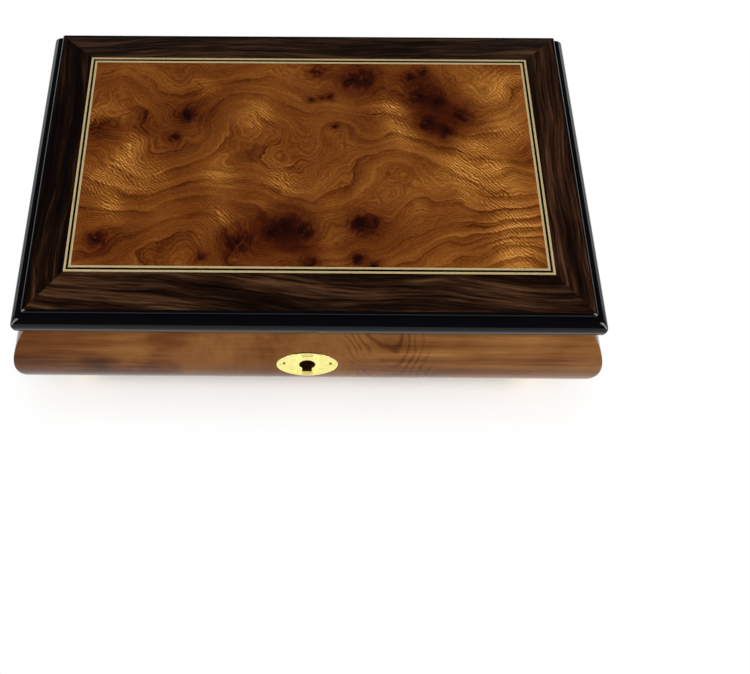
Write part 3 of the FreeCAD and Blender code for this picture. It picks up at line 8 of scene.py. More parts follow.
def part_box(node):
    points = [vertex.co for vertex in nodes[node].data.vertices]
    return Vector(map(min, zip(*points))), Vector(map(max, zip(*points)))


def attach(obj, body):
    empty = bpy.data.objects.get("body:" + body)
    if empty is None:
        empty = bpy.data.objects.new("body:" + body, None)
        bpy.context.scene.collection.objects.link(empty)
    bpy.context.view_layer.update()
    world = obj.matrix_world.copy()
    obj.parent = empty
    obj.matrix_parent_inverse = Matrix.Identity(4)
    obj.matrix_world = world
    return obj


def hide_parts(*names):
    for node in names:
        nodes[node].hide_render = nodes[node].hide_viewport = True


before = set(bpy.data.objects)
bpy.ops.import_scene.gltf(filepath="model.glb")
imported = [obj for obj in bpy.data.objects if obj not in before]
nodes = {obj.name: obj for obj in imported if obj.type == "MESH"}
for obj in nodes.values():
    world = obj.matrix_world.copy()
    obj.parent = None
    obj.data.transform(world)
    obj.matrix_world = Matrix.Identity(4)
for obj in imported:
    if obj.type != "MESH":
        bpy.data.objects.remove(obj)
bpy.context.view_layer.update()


# The studio: a white table top, pale walls all round under a dark ceiling, and soft lamps at the sides.
# The dark ceiling keeps the polished lid clear of glare, and the lamps draw bright lines on its moulded
# edges. The camera stands in front of the box and above it.
class Grain:
    """A value that varies over a surface: it wraps a socket, so that a figure is written as arithmetic."""

    def __init__(self, tree, socket):
        self.tree = tree
        self.socket = socket

    def node(self, kind, settings, sockets, out=0):
        made = self.tree.nodes.new(kind)
        for name, value in settings.items():
            if name == "stops":
                ramp = made.color_ramp.elements
                ramp[0].position = value[0][0]
                ramp[1].position = value[-1][0]
                for place, _ in value[1:-1]:
                    ramp.new(place)
                for stop, (_, colour) in zip(ramp, value):
                    stop.color = (*colour, 1)
            else:
                setattr(made, name, value)
        for name, value in sockets.items():
            if isinstance(value, Grain):
                self.tree.links.new(value.socket, made.inputs[name])
            else:
                made.inputs[name].default_value = value
        return Grain(self.tree, made.outputs[out])

    def does(self, operation, other=0.0):
        return self.node("ShaderNodeMath", {"operation": operation}, {0: self, 1: other})

    def __add__(self, other):
        return self.does("ADD", other)

    def __sub__(self, other):
        return self.does("SUBTRACT", other)

    def __rsub__(self, other):
        return self.node("ShaderNodeMath", {"operation": "SUBTRACT"}, {0: other, 1: self})

    def __mul__(self, other):
        return self.does("MULTIPLY", other)

    def __truediv__(self, other):
        return self.does("DIVIDE", other)

    __radd__ = __add__
    __rmul__ = __mul__

    def between(self, low, high):
        """0 below low, 1 above high, and smooth in between; turned round where high is under low."""
        return self.node(
            "ShaderNodeMapRange", {"interpolation_type": "SMOOTHSTEP"},
            {"Value": self, "From Min": low, "From Max": high},
        )

    def cloud(self, scale, detail=2.0, roughness=0.5, stretch=(1, 1, 1), shift=(0, 0, 0), out=0):
        """A soft random pattern, from 0 to 1, with about scale patches to the millimetre."""
        place = self.node("ShaderNodeMapping", {}, {"Vector": self, "Location": shift, "Scale": stretch})
        return self.node(
            "ShaderNodeTexNoise", {},
            {"Vector": place, "Scale": scale, "Detail": detail, "Roughness": roughness}, out,
        )

    def ramp(self, *stops):
        return self.node("ShaderNodeValToRGB", {"stops": stops}, {"Fac": self})

    def blend(self, under, over):
        """The colour over laid on the colour under, where this value is 1."""
        return self.node(
            "ShaderNodeMix", {"data_type": "RGBA", "clamp_factor": True}, {0: self, 6: under, 7: over}, 2
        )

    def part(self, axis):
        return self.node("ShaderNodeSeparateXYZ", {}, {0: self}, "XYZ".index(axis))

    def feed(self, surface, socket):
        self.tree.links.new(self.socket, surface.inputs[socket])


world = bpy.data.worlds.new("studio")
bpy.context.scene.world = world
world.use_nodes = True
sky = world.node_tree.nodes["Background"]
rays = world.node_tree.nodes.new("ShaderNodeTexCoord")
heading = Grain(world.node_tree, rays.outputs["Generated"])
white = (1, 1, 1, 1)
ceiling = (0.07, 0.07, 0.075, 1)
beside_or_behind = heading.part("Y").between(-0.9, -0.4)
wall_light = (heading.part("Z") - 0.03 * beside_or_behind).between(0.35, 0.18)
wall_light.blend(ceiling, white).feed(sky, "Color")
sky.inputs["Strength"].default_value = 1.0


def lamp(name, place, aim, width, height, watts, colour):
    light = bpy.data.lights.new(name, "AREA")
    light.shape = "RECTANGLE"
    light.size = width
    light.size_y = height
    light.energy = watts
    light.color = colour
    stand = bpy.data.objects.new(name, light)
    stand.location = place
    stand.rotation_euler = (Vector(aim) - Vector(place)).to_track_quat("-Z", "Y").to_euler()
    bpy.context.scene.collection.objects.link(stand)


lamp(
    "left_front_lamp", place=(-0.76, -0.3, 0.42), aim=(0, 0, 0.03), width=0.26, height=0.85, watts=7.2,
    colour=(1.0, 0.98, 0.95),
)
lamp(
    "right_front_lamp", place=(0.78, -0.28, 0.42), aim=(0, 0, 0.03), width=0.26, height=0.85, watts=8.3,
    colour=(1.0, 0.97, 0.93),
)
lamp(
    "left_back_lamp", place=(-0.75, 0.42, 0.2), aim=(0, 0, 0.05), width=0.5, height=0.16, watts=0.35,
    colour=(0.94, 0.97, 1.0),
)
lamp(
    "right_back_lamp", place=(0.75, 0.42, 0.2), aim=(0, 0, 0.05), width=0.5, height=0.16, watts=0.35,
    colour=(1.0, 0.96, 0.88),
)


def finish(name, numbers):
    """A new material with its plain numbers set: the material, its shader and the place on a piece in mm."""
    material = bpy.data.materials.new(name)
    material.use_nodes = True
    tree = material.node_tree
    surface = tree.nodes["Principled BSDF"]
    for socket, value in numbers.items():
        surface.inputs[socket].default_value = value
    spot = Grain(tree, tree.nodes.new("ShaderNodeTexCoord").outputs["Object"])
    in_mm = spot.node("ShaderNodeMapping", {}, {"Vector": spot, "Scale": (1000, 1000, 1000)})
    return material, surface, in_mm


table, surface, place = finish("white_table", {"Specular IOR Level": 0.1})
place.cloud(0.02, 3).ramp((0.3, (0.96, 0.96, 0.96)), (0.7, (0.98, 0.98, 0.98))).feed(surface, "Base Color")
(0.75 + 0.1 * place.cloud(0.4, 3)).feed(surface, "Roughness")
seen = [
    Grain(place.tree, place.tree.nodes.new("ShaderNodeLightPath").outputs[ray])
    for ray in ("Is Camera Ray", "Is Glossy Ray", "Is Transmission Ray")
]
# Beyond the box's shadow, the table is plain white wherever it is seen or mirrored.
shadow_reach = (("X", 115), ("Y", 70))
shadow_fade = 34
past = [(place.part(axis).does("ABSOLUTE") - reach).does("MAXIMUM", 0.0) for axis, reach in shadow_reach]
away = (past[0] * past[0] + past[1] * past[1]).does("SQRT").between(0, shadow_fade)
place.node("ShaderNodeMixShader", {}, {
    0: away * (seen[0] + seen[1] + seen[2]),
    1: Grain(place.tree, surface.outputs[0]),
    2: place.node("ShaderNodeEmission", {}, {"Color": white, "Strength": 1.0}),
}).feed(place.tree.nodes["Material Output"], "Surface")
bm = bmesh.new()
bmesh.ops.create_grid(bm, x_segments=8, y_segments=8, size=4.0)
sheet = bpy.data.meshes.new("table_top")
bm.to_mesh(sheet)
bm.free()
table_top = bpy.data.objects.new("table_top", sheet)
sheet.materials.append(table)
bpy.context.scene.collection.objects.link(table_top)

camera = bpy.data.objects.new("camera", bpy.data.cameras.new("camera"))
camera.data.lens = 32.443
camera.data.shift_x = 0.1151
stand_at = (-0.006829, -0.170102, 0.31917)
pan, tilt, roll = map(math.radians, (0.698, 20.249, -0.226))
camera.matrix_world = (
    Matrix.Translation(stand_at)
    @ Matrix.Rotation(pan, 4, "Z")
    @ Matrix.Rotation(tilt, 4, "X")
    @ Matrix.Rotation(roll, 4, "Z")
)
bpy.context.scene.collection.objects.link(camera)
bpy.context.scene.camera = camera
bpy.context.scene.view_settings.view_transform = "Standard"


# The bottom board, the ledges for the cover and the lid's core: plain board, sawn and sanded, and glued between
# the walls or under the veneers. Only their undersides and edges ever show.
def dress(material, *names):
    """Gives these CAD pieces a material."""
    for name in names:
        nodes[name].material_slots[0].material = material


board, surface, place = finish("plain_board", {"Specular IOR Level": 0.3})
fibre = place.cloud(0.9, 5, 0.65, (0.04, 1, 1))
fibre.ramp(
    (0.25, (0.33, 0.21, 0.11)), (0.55, (0.47, 0.33, 0.19)), (0.8, (0.55, 0.41, 0.26)),
).feed(surface, "Base Color")
(0.55 + 0.3 * fibre).feed(surface, "Roughness")
place.node(
    "ShaderNodeBump", {}, {"Strength": 0.3, "Distance": 0.0002, "Height": fibre}
).feed(surface, "Normal")
dress(board, "bottom_board", "panel_ledges", "lid_core")


# The case walls: a bulged core faced with flame-cut elm veneer, mitred at the corners and sprayed with
# a thick clear lacquer that is rubbed to a high gloss.
def lacquered(place, height, surface, strength, edge=0.0):
    """The lacquer's faint ripple over a figure, and its softened edges where an edge radius is given."""
    ripple = {"Strength": strength, "Distance": 0.0002, "Height": height}
    if edge:
        ripple["Normal"] = place.node("ShaderNodeBevel", {"samples": 6}, {"Radius": edge})
    place.node("ShaderNodeBump", {}, ripple).feed(surface, "Normal")


def elm(name, along, loop_at, ribbon_at, seed):
    """Elm veneer with its grain along one axis, with a loop of growth rings and a band of ribbons, in mm."""
    material, surface, place = finish(name, {"Specular IOR Level": 0.06})
    side = place.part(along)
    rise = place.part("Z")
    drift = place.cloud(0.02, 3, 0.5, shift=(seed, seed, 0))
    ruffle = place.cloud(0.07, 3, 0.55, shift=(seed, 0, seed))
    loop_foot, loop_spread, loop_drop = 45, 210, 44
    lean = side - loop_at + 0.3 * (rise - loop_foot) + 30 * (drift - 0.5)
    loop = (lean * lean * (-1 / loop_spread)).does("EXPONENT")
    hang = rise + loop_drop * loop + 26 * (drift - 0.5) + 10 * (ruffle - 0.5)
    fade = place.cloud(0.06, 2, 0.5, shift=(0, seed, seed + 3))
    rings = (hang * 0.8).does("SINE").between(0.0, 1.0)
    ring_lines = rings * loop.between(0.08, 0.4) * fade.between(0.3, 0.6)
    length = (0.06, 1, 1) if along == "X" else (1, 0.06, 1)
    ribbons = place.cloud(0.22, 3, 0.55, (1, 1, 0.05), (seed, 0, 0))
    ribbon_reach, stain_edge = 60, 50
    band = ((side - ribbon_at) / ribbon_reach).does("ABSOLUTE").between(1.0, 0.3)
    fibre = place.cloud(0.9, 4, 0.65, length, (0, seed, 0))
    streak = place.cloud(0.2, 4, 0.6, length, (0, seed, 5))
    smudge = place.cloud(0.024, 3, 0.55, (1, 1, 1.8), (seed + 2.2, 3.1, 0)).between(0.46, 0.7)
    stained = smudge * (1 - band) * side.between(ribbon_at + stain_edge, ribbon_at - stain_edge)
    # The 0.0006 * side term is painted light: it draws each wall a little lighter towards the plus end of its
    # length, the right end of the front wall.
    tone = (
        0.52 + 0.0006 * side + 0.7 * (drift - 0.5) + 0.3 * band * (ribbons - 0.5) + 0.22 * (fibre - 0.5)
        + 0.1 * band + (1 - band) * 0.75 * (streak - 0.5) - 0.17 * ring_lines - 0.32 * stained
    )
    tone.ramp(
        (0.05, (0.025, 0.006, 0.0014)), (0.3, (0.064, 0.019, 0.0045)), (0.5, (0.128, 0.044, 0.0095)),
        (0.68, (0.21, 0.088, 0.023)), (0.95, (0.36, 0.175, 0.055)),
    ).feed(surface, "Base Color")
    (0.05 + 0.05 * place.cloud(0.05, 2)).feed(surface, "Roughness")
    lacquered(place, fibre, surface, 0.03, 0.0007)
    return material


dress(elm("elm_front", "X", loop_at=38, ribbon_at=-14, seed=0.0), "front_wall")
dress(elm("elm_back", "X", loop_at=-40, ribbon_at=20, seed=17.0), "back_wall")
dress(elm("elm_left", "Y", loop_at=-20, ribbon_at=25, seed=31.0), "left_wall")
dress(elm("elm_right", "Y", loop_at=25, ribbon_at=-20, seed=47.0), "right_wall")


# The rim round the opening: four strips of rosewood, streaked nearly black along the grain, glued on the walls
# and mitred at the corners, so that each streak runs along its own side.
def rosewood(name, along, depth, warmth, seed, slant=0.0, sway=14, satin=0.0):
    """Rosewood with its grain along one axis: depth makes it darker, warmth redder and satin duller.

    Slant turns the grain by degrees, and sway bends it, in mm.
    """
    material, surface, place = finish(name, {"Specular IOR Level": 0.16})
    lie = (0.05, 1, 0.4) if along == "X" else (1, 0.05, 0.4)
    turned = place.node("ShaderNodeMapping", {}, {"Vector": place, "Rotation": (0, 0, math.radians(slant))})
    bend = place.cloud(0.014, 2, 0.5, shift=(seed, seed, 0), out=1)
    flow = place.node(
        "ShaderNodeVectorMath", {"operation": "MULTIPLY_ADD"}, {0: bend, 1: (sway, sway, 0), 2: turned}
    )
    broad = flow.cloud(0.24, 3, 0.55, lie, (seed, seed, 0))
    streak = flow.cloud(1.0, 4, 0.65, lie, (0, seed, seed))
    pores = flow.cloud(4.0, 2, 0.5, lie, (seed, 0, 0)).between(0.62, 0.74)
    tone = 0.5 + 1.2 * (broad - 0.5) + 1.0 * (streak - 0.5) - 0.12 * pores - depth
    tone.ramp(
        (0.2, (0.0025, 0.0009, 0.0005)), (0.42, (0.010, 0.0036, 0.0015)),
        (0.58, (0.032, 0.0135 - 0.003 * warmth, 0.0052)), (0.85, (0.11, 0.052 - 0.01 * warmth, 0.023)),
    ).feed(surface, "Base Color")
    (0.06 + satin + 0.06 * streak).feed(surface, "Roughness")
    lacquered(place, streak, surface, 0.03)
    return material


dress(rosewood("rosewood_rim_long", "X", depth=-0.1, warmth=0.1, seed=5.0), "rim_front", "rim_back")
dress(rosewood("rosewood_rim_short", "Y", depth=-0.1, warmth=0.1, seed=9.0), "rim_left", "rim_right")


# The ball feet, the lock, the escutcheon, the hinge, the plunger and the movement's brass: turned, rolled and
# stamped brass, screwed or pressed in place, with fine polishing marks and patches of faint tarnish.
def polished_brass(name, tint, marks, dull):
    """Brass of a tint: marks sets how deep its polishing marks are, and dull how rough it is."""
    material, surface, place = finish(name, {"Metallic": 1.0, "Specular IOR Level": 0.5})
    tarnish = place.cloud(0.09, 4, 0.6)
    scratch = place.cloud(2.2, 3, 0.6, (1, 0.12, 0.3))
    tarnished = (tint[0] * 0.9, tint[1] * 0.84, tint[2] * 0.72, 1)
    tarnish.between(0.35, 0.75).blend((*tint, 1), tarnished).feed(surface, "Base Color")
    (dull + 0.09 * tarnish + 0.05 * scratch).feed(surface, "Roughness")
    lacquered(place, scratch, surface, marks, 0.0002)
    return material


dress(
    polished_brass("polished_brass", tint=(0.88, 0.7, 0.24), marks=0.03, dull=0.1),
    "ball_feet", "lock_case", "lock_bolt", "lock_ring", "plunger_bush", "stop_plunger", "catch_stud",
    "music_cylinder", "spring_barrel", "winding_key", "governor_frame",
)
dress(
    polished_brass("rolled_brass", tint=(1.0, 0.87, 0.36), marks=0.05, dull=0.15),
    "hinge_case_leaf", "hinge_lid_leaf", "hinge_pin", "hinge_case_screws", "hinge_lid_screws",
)
dress(
    polished_brass("stamped_brass", tint=(1.0, 0.93, 0.35), marks=0.04, dull=0.16),
    "escutcheon", "escutcheon_screws",
)


# The musical movement: a cast bedplate, a steel comb with its screws, a wound spring and its arbor, and a
# moulded nylon governor. It is screwed to the bottom board under the cover.
zinc, surface, place = finish("cast_zinc", {"Metallic": 1.0})
sand = place.cloud(1.6, 4, 0.65)
sand.ramp((0.3, (0.3, 0.29, 0.27)), (0.7, (0.44, 0.43, 0.4))).feed(surface, "Base Color")
(0.42 + 0.25 * sand).feed(surface, "Roughness")
lacquered(place, sand, surface, 0.25, 0.0003)
dress(zinc, "movement_bedplate")

steel, surface, place = finish("spring_steel", {"Metallic": 1.0})
brushed = place.cloud(3.0, 3, 0.6, (1, 0.08, 1))
brushed.ramp((0.3, (0.4, 0.41, 0.43)), (0.7, (0.56, 0.56, 0.58))).feed(surface, "Base Color")
(0.2 + 0.2 * brushed).feed(surface, "Roughness")
lacquered(place, brushed, surface, 0.08, 0.0001)
dress(steel, "comb", "comb_screws", "bedplate_screws", "mainspring", "winding_arbor")

nylon, surface, place = finish("governor_nylon", {"Specular IOR Level": 0.4})
swirl = place.cloud(0.5, 3)
swirl.ramp((0.3, (0.68, 0.65, 0.56)), (0.7, (0.78, 0.75, 0.67))).feed(surface, "Base Color")
(0.4 + 0.15 * swirl).feed(surface, "Roughness")
lacquered(place, swirl, surface, 0.05, 0.0001)
dress(nylon, "governor_wheel", "governor_fly")


# The lining, the floor, the divider, the ring rolls and the cover: tan suede cloth glued over card and foam,
# with its nap brushed in patches and its edges turned over and rounded.
def suede_cloth(name, depth):
    """Tan suede with a brushed nap. Depth makes it darker."""
    material, surface, place = finish(
        name, {"Specular IOR Level": 0.15, "Sheen Weight": 0.35, "Sheen Roughness": 0.5,
               "Sheen Tint": (1.0, 0.88, 0.76, 1.0)}
    )
    nap = place.cloud(0.07, 4, 0.6)
    fleck = place.cloud(1.1, 3, 0.7)
    tuft = place.cloud(3.5, 2, 0.6)
    shade = 0.5 + 0.75 * (nap - 0.5) + 0.9 * (fleck - 0.5) + 0.7 * (tuft - 0.5) - depth
    shade.ramp(
        (0.1, (0.36, 0.19, 0.1)), (0.5, (0.74, 0.48, 0.305)), (0.8, (0.87, 0.63, 0.45)),
    ).feed(surface, "Base Color")
    (0.86 + 0.12 * fleck).feed(surface, "Roughness")
    place.node(
        "ShaderNodeBump", {}, {"Strength": 0.5, "Distance": 0.0003, "Height": fleck + 0.6 * tuft}
    ).feed(surface, "Normal")
    return material


suede = suede_cloth("tan_suede", 0.0)


def covered(bm, name, cloth, body):
    """A soft piece made of a mesh: it rides its body and stands for its solid."""
    bmesh.ops.recalc_face_normals(bm, faces=bm.faces)
    for face in bm.faces:
        face.smooth = True
    mesh = bpy.data.meshes.new(name + "_suede")
    bm.to_mesh(mesh)
    bm.free()
    made = bpy.data.objects.new(name + "_suede", mesh)
    bpy.context.scene.collection.objects.link(made)
    mesh.materials.append(cloth)
    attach(made, body)
    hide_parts(name)
    return made


def stuffed(name, radius, rounds, ruffle, body):
    """A suede-covered block in the space of its solid.

    Radius goes to those of its top edges that rounds picks, and ruffle is the depth of the dents in its top.
    """
    low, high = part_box(name)
    middle = (low + high) / 2
    half = (high - low) / 2
    bm = bmesh.new()
    bmesh.ops.create_cube(bm, size=1.0)
    bmesh.ops.scale(bm, vec=high - low, verts=bm.verts)
    bmesh.ops.translate(bm, vec=middle, verts=bm.verts)
    top = [edge for edge in bm.edges if all(vert.co.z > middle.z for vert in edge.verts)]
    bmesh.ops.bevel(
        bm, geom=[edge for edge in top if rounds(edge)], offset=radius, segments=6, affect="EDGES",
        profile=0.5, material=-1,
    )
    cell = 0.0035
    for axis in range(3):
        count = int((high[axis] - low[axis]) / cell)
        for cut in range(1, count):
            spot = Vector((0, 0, 0))
            spot[axis] = low[axis] + (high[axis] - low[axis]) * cut / count
            normal = Vector((0, 0, 0))
            normal[axis] = 1
            bmesh.ops.bisect_plane(
                bm, geom=[*bm.verts, *bm.edges, *bm.faces], plane_co=spot, plane_no=normal
            )
    dents_to_metre = 60
    for vert in bm.verts:
        rise = max(0, (vert.co.z - middle.z) / half.z)
        vert.co.z -= abs(noise.noise(vert.co * dents_to_metre)) * ruffle * rise
    covered(bm, name, suede, body)


def runs(axis):
    """Picks the edges that lie along an axis."""
    return lambda edge: abs((edge.verts[0].co - edge.verts[1].co).normalized()["xyz".index(axis)]) > 0.9


def all_round(edge):
    """Picks every edge."""
    return True


for name, axis in (("lining_front", "x"), ("lining_back", "x"), ("lining_left", "y"), ("lining_right", "y")):
    stuffed(name, radius=0.0008, rounds=runs(axis), ruffle=0.00008, body="case")
stuffed("floor_pad", radius=0.0006, rounds=all_round, ruffle=0.0001, body="case")
stuffed("divider", radius=0.0026, rounds=runs("y"), ruffle=0.0001, body="case")
stuffed("ring_roll_high", radius=0.0042, rounds=runs("y"), ruffle=0.00015, body="case")
stuffed("ring_roll_low", radius=0.0036, rounds=runs("y"), ruffle=0.00015, body="case")
stuffed("cover_panel", radius=0.001, rounds=all_round, ruffle=0.0001, body="cover")

# The cover's pull tab: a strip of the same suede, drawn darker all over, folded over and glued under itself.
# It is swept from the fold's outline, a little askew, and thickened.
fold = (
    (0.0, 0.0004), (0.0054, 0.0004), (0.0079, 0.0014), (0.0078, 0.0032), (0.0052, 0.0039), (0.0004, 0.0032),
)
slices = 4
skew = 0.0002
low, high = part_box("pull_tab")
bm = bmesh.new()
spine = [bm.verts.new((low.x + x, low.y, low.z + z)) for x, z in fold]
chain = [bm.edges.new(pair) for pair in zip(spine, spine[1:])]
for cut in range(slices):
    drawn = bmesh.ops.extrude_edge_only(bm, edges=chain)["geom"]
    fresh = [item for item in drawn if isinstance(item, bmesh.types.BMVert)]
    bmesh.ops.translate(bm, vec=(skew * (cut - 1), (high.y - low.y) / slices, 0), verts=fresh)
    chain = [item for item in drawn if isinstance(item, bmesh.types.BMEdge)]
tab = covered(bm, "pull_tab", suede_cloth("tab_suede", 0.34), "cover")
skin = tab.modifiers.new("skin", "SOLIDIFY")
skin.thickness = 0.0007
skin.offset = 0
curl = tab.modifiers.new("curl", "SUBSURF")
curl.levels = curl.render_levels = 2


# The lid's edge: a black-lacquered moulding with a shoulder and a thumb, glued round the front and the sides
# and mitred at the front corners, which are eased by sanding. The back edge is a plain black strip.
# The front solid's section is drawn out both ways to the back, eased at the mitres and cut there in three.
black, surface, place = finish("black_lacquer", {"Specular IOR Level": 0.22})
speck = place.cloud(3.5, 2, 0.5).between(0.76, 0.8)
speck.blend((0.0016, 0.0015, 0.0022, 1), (0.012, 0.012, 0.014, 1)).feed(surface, "Base Color")
(0.05 + 0.04 * place.cloud(0.05, 2) + 0.2 * speck).feed(surface, "Roughness")
lacquered(place, place.cloud(0.5, 2), surface, 0.02)
dress(black, "lid_edge_back")

ease = 0.0015
outward = 0.1
sharp = math.radians(35)
same_spot = 1e-6
hair = 1e-5
low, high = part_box("lid_edge_front")
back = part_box("lid_edge_left")[1].y
bm = bmesh.new()
bm.from_mesh(nodes["lid_edge_front"].data)
bmesh.ops.remove_doubles(bm, verts=bm.verts, dist=same_spot)
bmesh.ops.bisect_plane(
    bm, geom=[*bm.verts, *bm.edges, *bm.faces], plane_co=(0, 0, 0), plane_no=(1, 0, 0),
    clear_outer=True, clear_inner=True,
)
section = bm.edges[:]
mitres = []
for corner, turn in ((high.x, -1), (low.x, 1)):
    chain = section
    for stop in ("mitre", "end"):
        drawn = bmesh.ops.extrude_edge_only(bm, edges=chain)["geom"]
        for vert in (item for item in drawn if isinstance(item, bmesh.types.BMVert)):
            if stop == "mitre":
                vert.co.x = corner + turn * (vert.co.y - low.y)
            else:
                vert.co.y = back
        chain = [item for item in drawn if isinstance(item, bmesh.types.BMEdge)]
        if stop == "mitre":
            mitres += chain
    bmesh.ops.contextual_create(bm, geom=chain)
bmesh.ops.recalc_face_normals(bm, faces=bm.faces)
bmesh.ops.bevel(
    bm, geom=[edge for edge in mitres if edge.calc_face_angle_signed(0) > outward], offset=ease, segments=8,
    affect="EDGES", profile=0.5, material=-1, loop_slide=True,
)
# What the easing pushed past the inner corner goes back to it.
inner = Vector((high.x - (high.y - low.y), high.y))
for vert in bm.verts:
    if abs(vert.co.x) < inner.x - hair and inner.y + hair < vert.co.y < inner.y + 2 * ease:
        vert.co.x = math.copysign(inner.x, vert.co.x)
        vert.co.y = inner.y
cuts = {"right": (high.x, (1, 1, 0)), "left": (low.x, (-1, 1, 0))}
for name, sides in (("front", ("right", "left")), ("right", ("right",)), ("left", ("left",))):
    rail = bm.copy()
    for side in sides:
        corner, way = cuts[side]
        opened = bmesh.ops.bisect_plane(
            rail, geom=[*rail.verts, *rail.edges, *rail.faces], plane_co=(corner, low.y, 0), plane_no=way,
            clear_outer=name == "front", clear_inner=name != "front",
        )["geom_cut"]
        mouth = [item for item in opened if isinstance(item, bmesh.types.BMEdge)]
        bmesh.ops.contextual_create(rail, geom=mouth)
    bmesh.ops.remove_doubles(rail, verts=rail.verts, dist=same_spot)
    bmesh.ops.recalc_face_normals(rail, faces=rail.faces)
    for face in rail.faces:
        face.smooth = True
    for edge in rail.edges:
        edge.smooth = edge.calc_face_angle(0) < sharp
    mesh = bpy.data.meshes.new(f"lid_edge_{name}_eased")
    rail.to_mesh(mesh)
    rail.free()
    made = bpy.data.objects.new(mesh.name, mesh)
    bpy.context.scene.collection.objects.link(made)
    mesh.materials.append(black)
    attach(made, "lid")
    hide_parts(f"lid_edge_{name}")
bm.free()


# The lid's border and its underside: four rosewood rails that fall away outwards, mitred at the corners and
# glued to the core, with the left one the darkest, and one satin leaf of the same wood under the lid.
dress(rosewood("rosewood_front", "X", depth=-0.01, warmth=0.15, seed=2.0, slant=4.0), "lid_border_front")
dress(rosewood("rosewood_back", "X", depth=-0.04, warmth=0.1, seed=13.0, slant=-2.0), "lid_border_back")
dress(rosewood("rosewood_left", "Y", depth=0.19, warmth=0.3, seed=21.0), "lid_border_left")
dress(rosewood("rosewood_right", "Y", depth=-0.02, warmth=0.5, seed=34.0), "lid_border_right")
dress(
    rosewood("rosewood_under", "X", depth=-0.02, warmth=0.0, seed=41.0, slant=0.5, sway=4, satin=0.25),
    "lid_underside",
)


# The stringing: three thin inlaid lines round the panel, one dyed black between two of pale maple. They are
# mitred at the corners and levelled with the veneers under the lacquer.
def stringing(name, pale, dark):
    """A line of fine even wood, between two colours."""
    material, surface, place = finish(name, {"Specular IOR Level": 0.3})
    fibre = place.cloud(1.4, 3, 0.6)
    fibre.ramp((0.3, dark), (0.7, pale)).feed(surface, "Base Color")
    (0.07 + 0.06 * fibre).feed(surface, "Roughness")
    lacquered(place, fibre, surface, 0.02)
    return material


dress(stringing("maple_line", pale=(0.62, 0.5, 0.27), dark=(0.5, 0.38, 0.18)), "stringing_light")
dress(stringing("dyed_line", pale=(0.012, 0.009, 0.006), dark=(0.004, 0.003, 0.002)), "stringing_dark")


# The burl panel: elm burl veneer, laid in one leaf, with swirling growth rings round its eyes and patches of
# bright ripple where the fibres turn up, under the same polished lacquer. Its eyes, ripples, shades, sweeps
# of grain and arches are each given by a place and a size in mm, and a sweep by its height too.
EYES = (
    (-53.6, 23.2, 3.8), (-58.8, 11.8, 2.4), (-28.5, -38.4, 5.2), (-10.0, -31.5, 6.0), (-2.0, -33.5, 3.8),
    (-15.0, -34.5, 3.2), (-88.6, -38.5, 2.2), (-86.0, -37.4, 2.2), (-43.4, -45.9, 1.5), (0.4, -48.5, 2.4),
    (4.2, 47.5, 3.2), (0.6, 32.0, 1.3), (5.5, 34.2, 1.1), (9.5, 34.8, 1.1), (19.0, 43.5, 4.2),
    (25.5, 44.5, 4.4), (11.9, 19.3, 1.0), (45.7, 45.6, 2.0), (51.6, 47.9, 2.0), (50.0, 34.6, 4.4),
    (57.0, 32.0, 3.4), (52.6, 20.6, 3.6), (59.4, 16.6, 3.0), (67.4, 24.6, 2.7), (21.5, -29.3, 3.4),
    (27.7, -28.4, 1.4), (19.8, -46.3, 2.4), (27.0, -48.6, 1.5),
)
RIPPLES = (
    (-91, -11, 7), (-83, -8, 8), (-78, 0, 6), (-76, 9, 5), (-68, -8, 8), (-93, 25, 7), (-83, 28, 6),
    (-46, 38, 5), (-22, 25, 9), (-12, -9, 8), (-38, -7, 7), (-83, -22, 6), (-37, -26, 7), (66, -4, 8),
    (76, -3, 9), (80, -13, 9), (68, -17, 7), (84, -29, 9), (84, -44, 10), (86, 40, 10), (85, 18, 9),
    (37, 29, 8), (42, 15, 7), (70, 6, 8),
)
SHADES = (
    (-43, 26, 10), (-68, 18, 6), (-74, -36, 9), (-7, -33, 9), (36, -34, 12), (94, 5, 8), (26, 21, 8),
    (54, 42, 13), (58, 24, 14), (47, -3, 7), (21, -31, 9), (-90, 14, 8),
)
SWEEPS = (
    (80, -60, 34, 62), (-30, 22, 15, 22), (-72, -8, 24, -14), (12, 19, 9, 15), (-52, -36, 18, 24),
    (40, -4, 13, 19), (76, 34, 17, -22), (-6, -3, 17, -15), (-84, 38, 16, 16),
)
ARCHES = (84, -32, 27)
burl, surface, place = finish("elm_burl", {"Specular IOR Level": 0.2})
spread = place.node("ShaderNodeMapping", {}, {"Vector": place, "Scale": (1, 1, 0)})
crimp = spread.cloud(0.13, 3, 0.6, out=1)
pull = 6
rough = place.node(
    "ShaderNodeVectorMath", {"operation": "MULTIPLY_ADD"}, {0: crimp, 1: (pull, pull, 0), 2: spread}
)


def hill(x, y, size):
    """A rise of 1 at a place on the panel, which falls away over its size, with an uneven outline."""
    top = (x + pull / 2, y + pull / 2, 0)
    gap = rough.node("ShaderNodeVectorMath", {"operation": "DISTANCE"}, {0: rough, 1: top}, 1)
    return (gap * gap * (-1 / (size * size))).does("EXPONENT")


def heap(rises):
    """The sum of several rises."""
    return sum(rises[1:], rises[0])


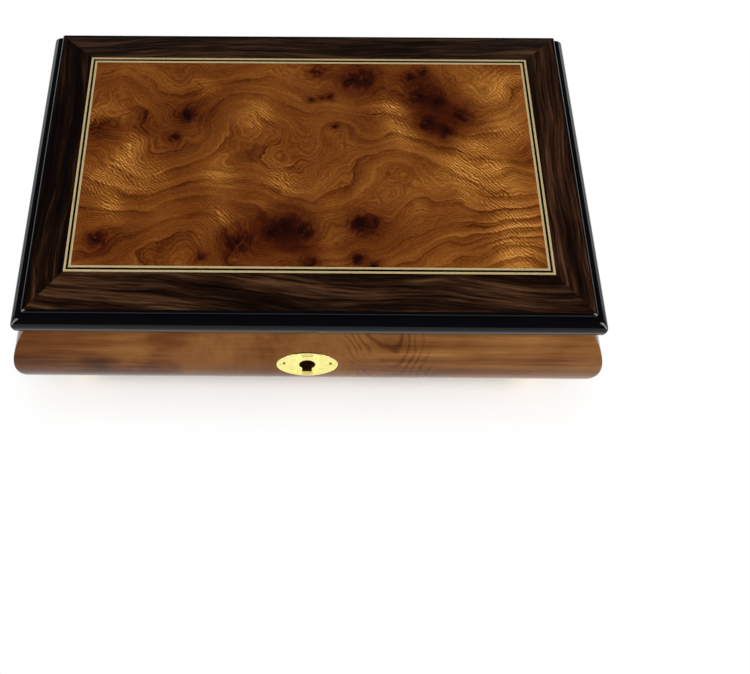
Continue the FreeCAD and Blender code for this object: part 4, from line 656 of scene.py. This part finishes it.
cores = [hill(*eye) for eye in EYES]
pupil = heap([core.does("POWER", 1.5) for core in cores]).does("MINIMUM", 1.0)
iris = heap([core.does("POWER", 0.5) for core in cores]).does("MINIMUM", 1.2)
rings = (heap(cores).does("POWER", 0.25) * 17).does("SINE")
halo = heap([core.does("POWER", 0.16) for core in cores]).does("MINIMUM", 1.5)
across = spread.part("Y")
parting = heap([(across - y) * core.does("POWER", 0.12) for core, (x, y, size) in zip(cores, EYES)])
sweep = heap([hill(x, y, size) * height for x, y, size, height in SWEEPS])
wander = spread.cloud(0.018, 2, 0.5, shift=(3, 8, 0))
waver = spread.cloud(0.075, 2, 0.5, shift=(1, 5, 0))
lie = across - 0.75 * parting - sweep + 48 * (wander - 0.5) + 9 * (waver - 0.5)
course = spread.node("ShaderNodeCombineXYZ", {}, {"X": 0.07 * spread.part("X"), "Y": lie})
fibre = course.cloud(1.0, 4, 0.7)
band = course.cloud(0.17, 2, 0.5, shift=(4, 2, 0))
broken = spread.cloud(0.05, 3, 0.6, shift=(7, 2, 0))
edge_lines = (lie * 0.06 + 1.1 * wander).does("FRACT").does("POWER", 4.0) * broken.between(0.36, 0.6)
arch_lines = (lie * 0.075 + 0.3 * wander).does("FRACT").does("POWER", 2.5) * hill(*ARCHES)
fine_lines = (lie * 4.4 + 9 * crimp.part("Y")).does("SINE")
hatch = (spread.part("X") * 3.6 + spread.part("Y") * 3.4 + 26 * crimp.part("X")).does("SINE")
fleck = rough.cloud(0.9, 3, 0.65)
knot = rough.cloud(0.34, 3, 0.6, shift=(2, 6, 0))
mottle = spread.cloud(0.03, 3, 0.5, shift=(1.5, 4.5, 0))
glow = heap([hill(*patch) for patch in RIPPLES]).does("MINIMUM", 1.0)
shade = heap([hill(*patch) for patch in SHADES]).does("MINIMUM", 1.2)
# The 0.0006 * X term is painted light: it draws the panel a little lighter towards the right.
tone = (
    0.52 + 0.0006 * spread.part("X") + 0.4 * (mottle - 0.5) + 0.34 * (fibre - 0.5) + 0.4 * (band - 0.5)
    + 0.32 * (fleck - 0.5) + 0.05 * fine_lines - 0.22 * edge_lines - 0.36 * arch_lines
    + glow * (0.15 + 0.16 * hatch * broken.between(0.3, 0.55) + 0.3 * (fibre - 0.5))
    - 0.13 * shade - halo * (0.06 + 0.025 * rings) - 0.17 * pupil
    - iris * (0.23 + 1.1 * (knot - 0.5) + 0.6 * (fleck - 0.5))
)
veneer = tone.ramp(
    (0.0, (0.006, 0.0011, 0.0006)), (0.14, (0.03, 0.0055, 0.0014)), (0.26, (0.085, 0.017, 0.0025)),
    (0.46, (0.18, 0.049, 0.007)), (0.6, (0.27, 0.088, 0.0135)), (0.76, (0.48, 0.19, 0.034)),
    (0.95, (0.85, 0.42, 0.1)),
)
blush = (0.06, 0.0085, 0.0018, 1)
(0.4 * halo * (1 - 0.8 * pupil)).blend(veneer, blush).feed(surface, "Base Color")
(0.05 + 0.05 * place.cloud(0.05, 2)).feed(surface, "Roughness")
lacquered(place, fleck, surface, 0.02)
dress(burl, "burl_panel")
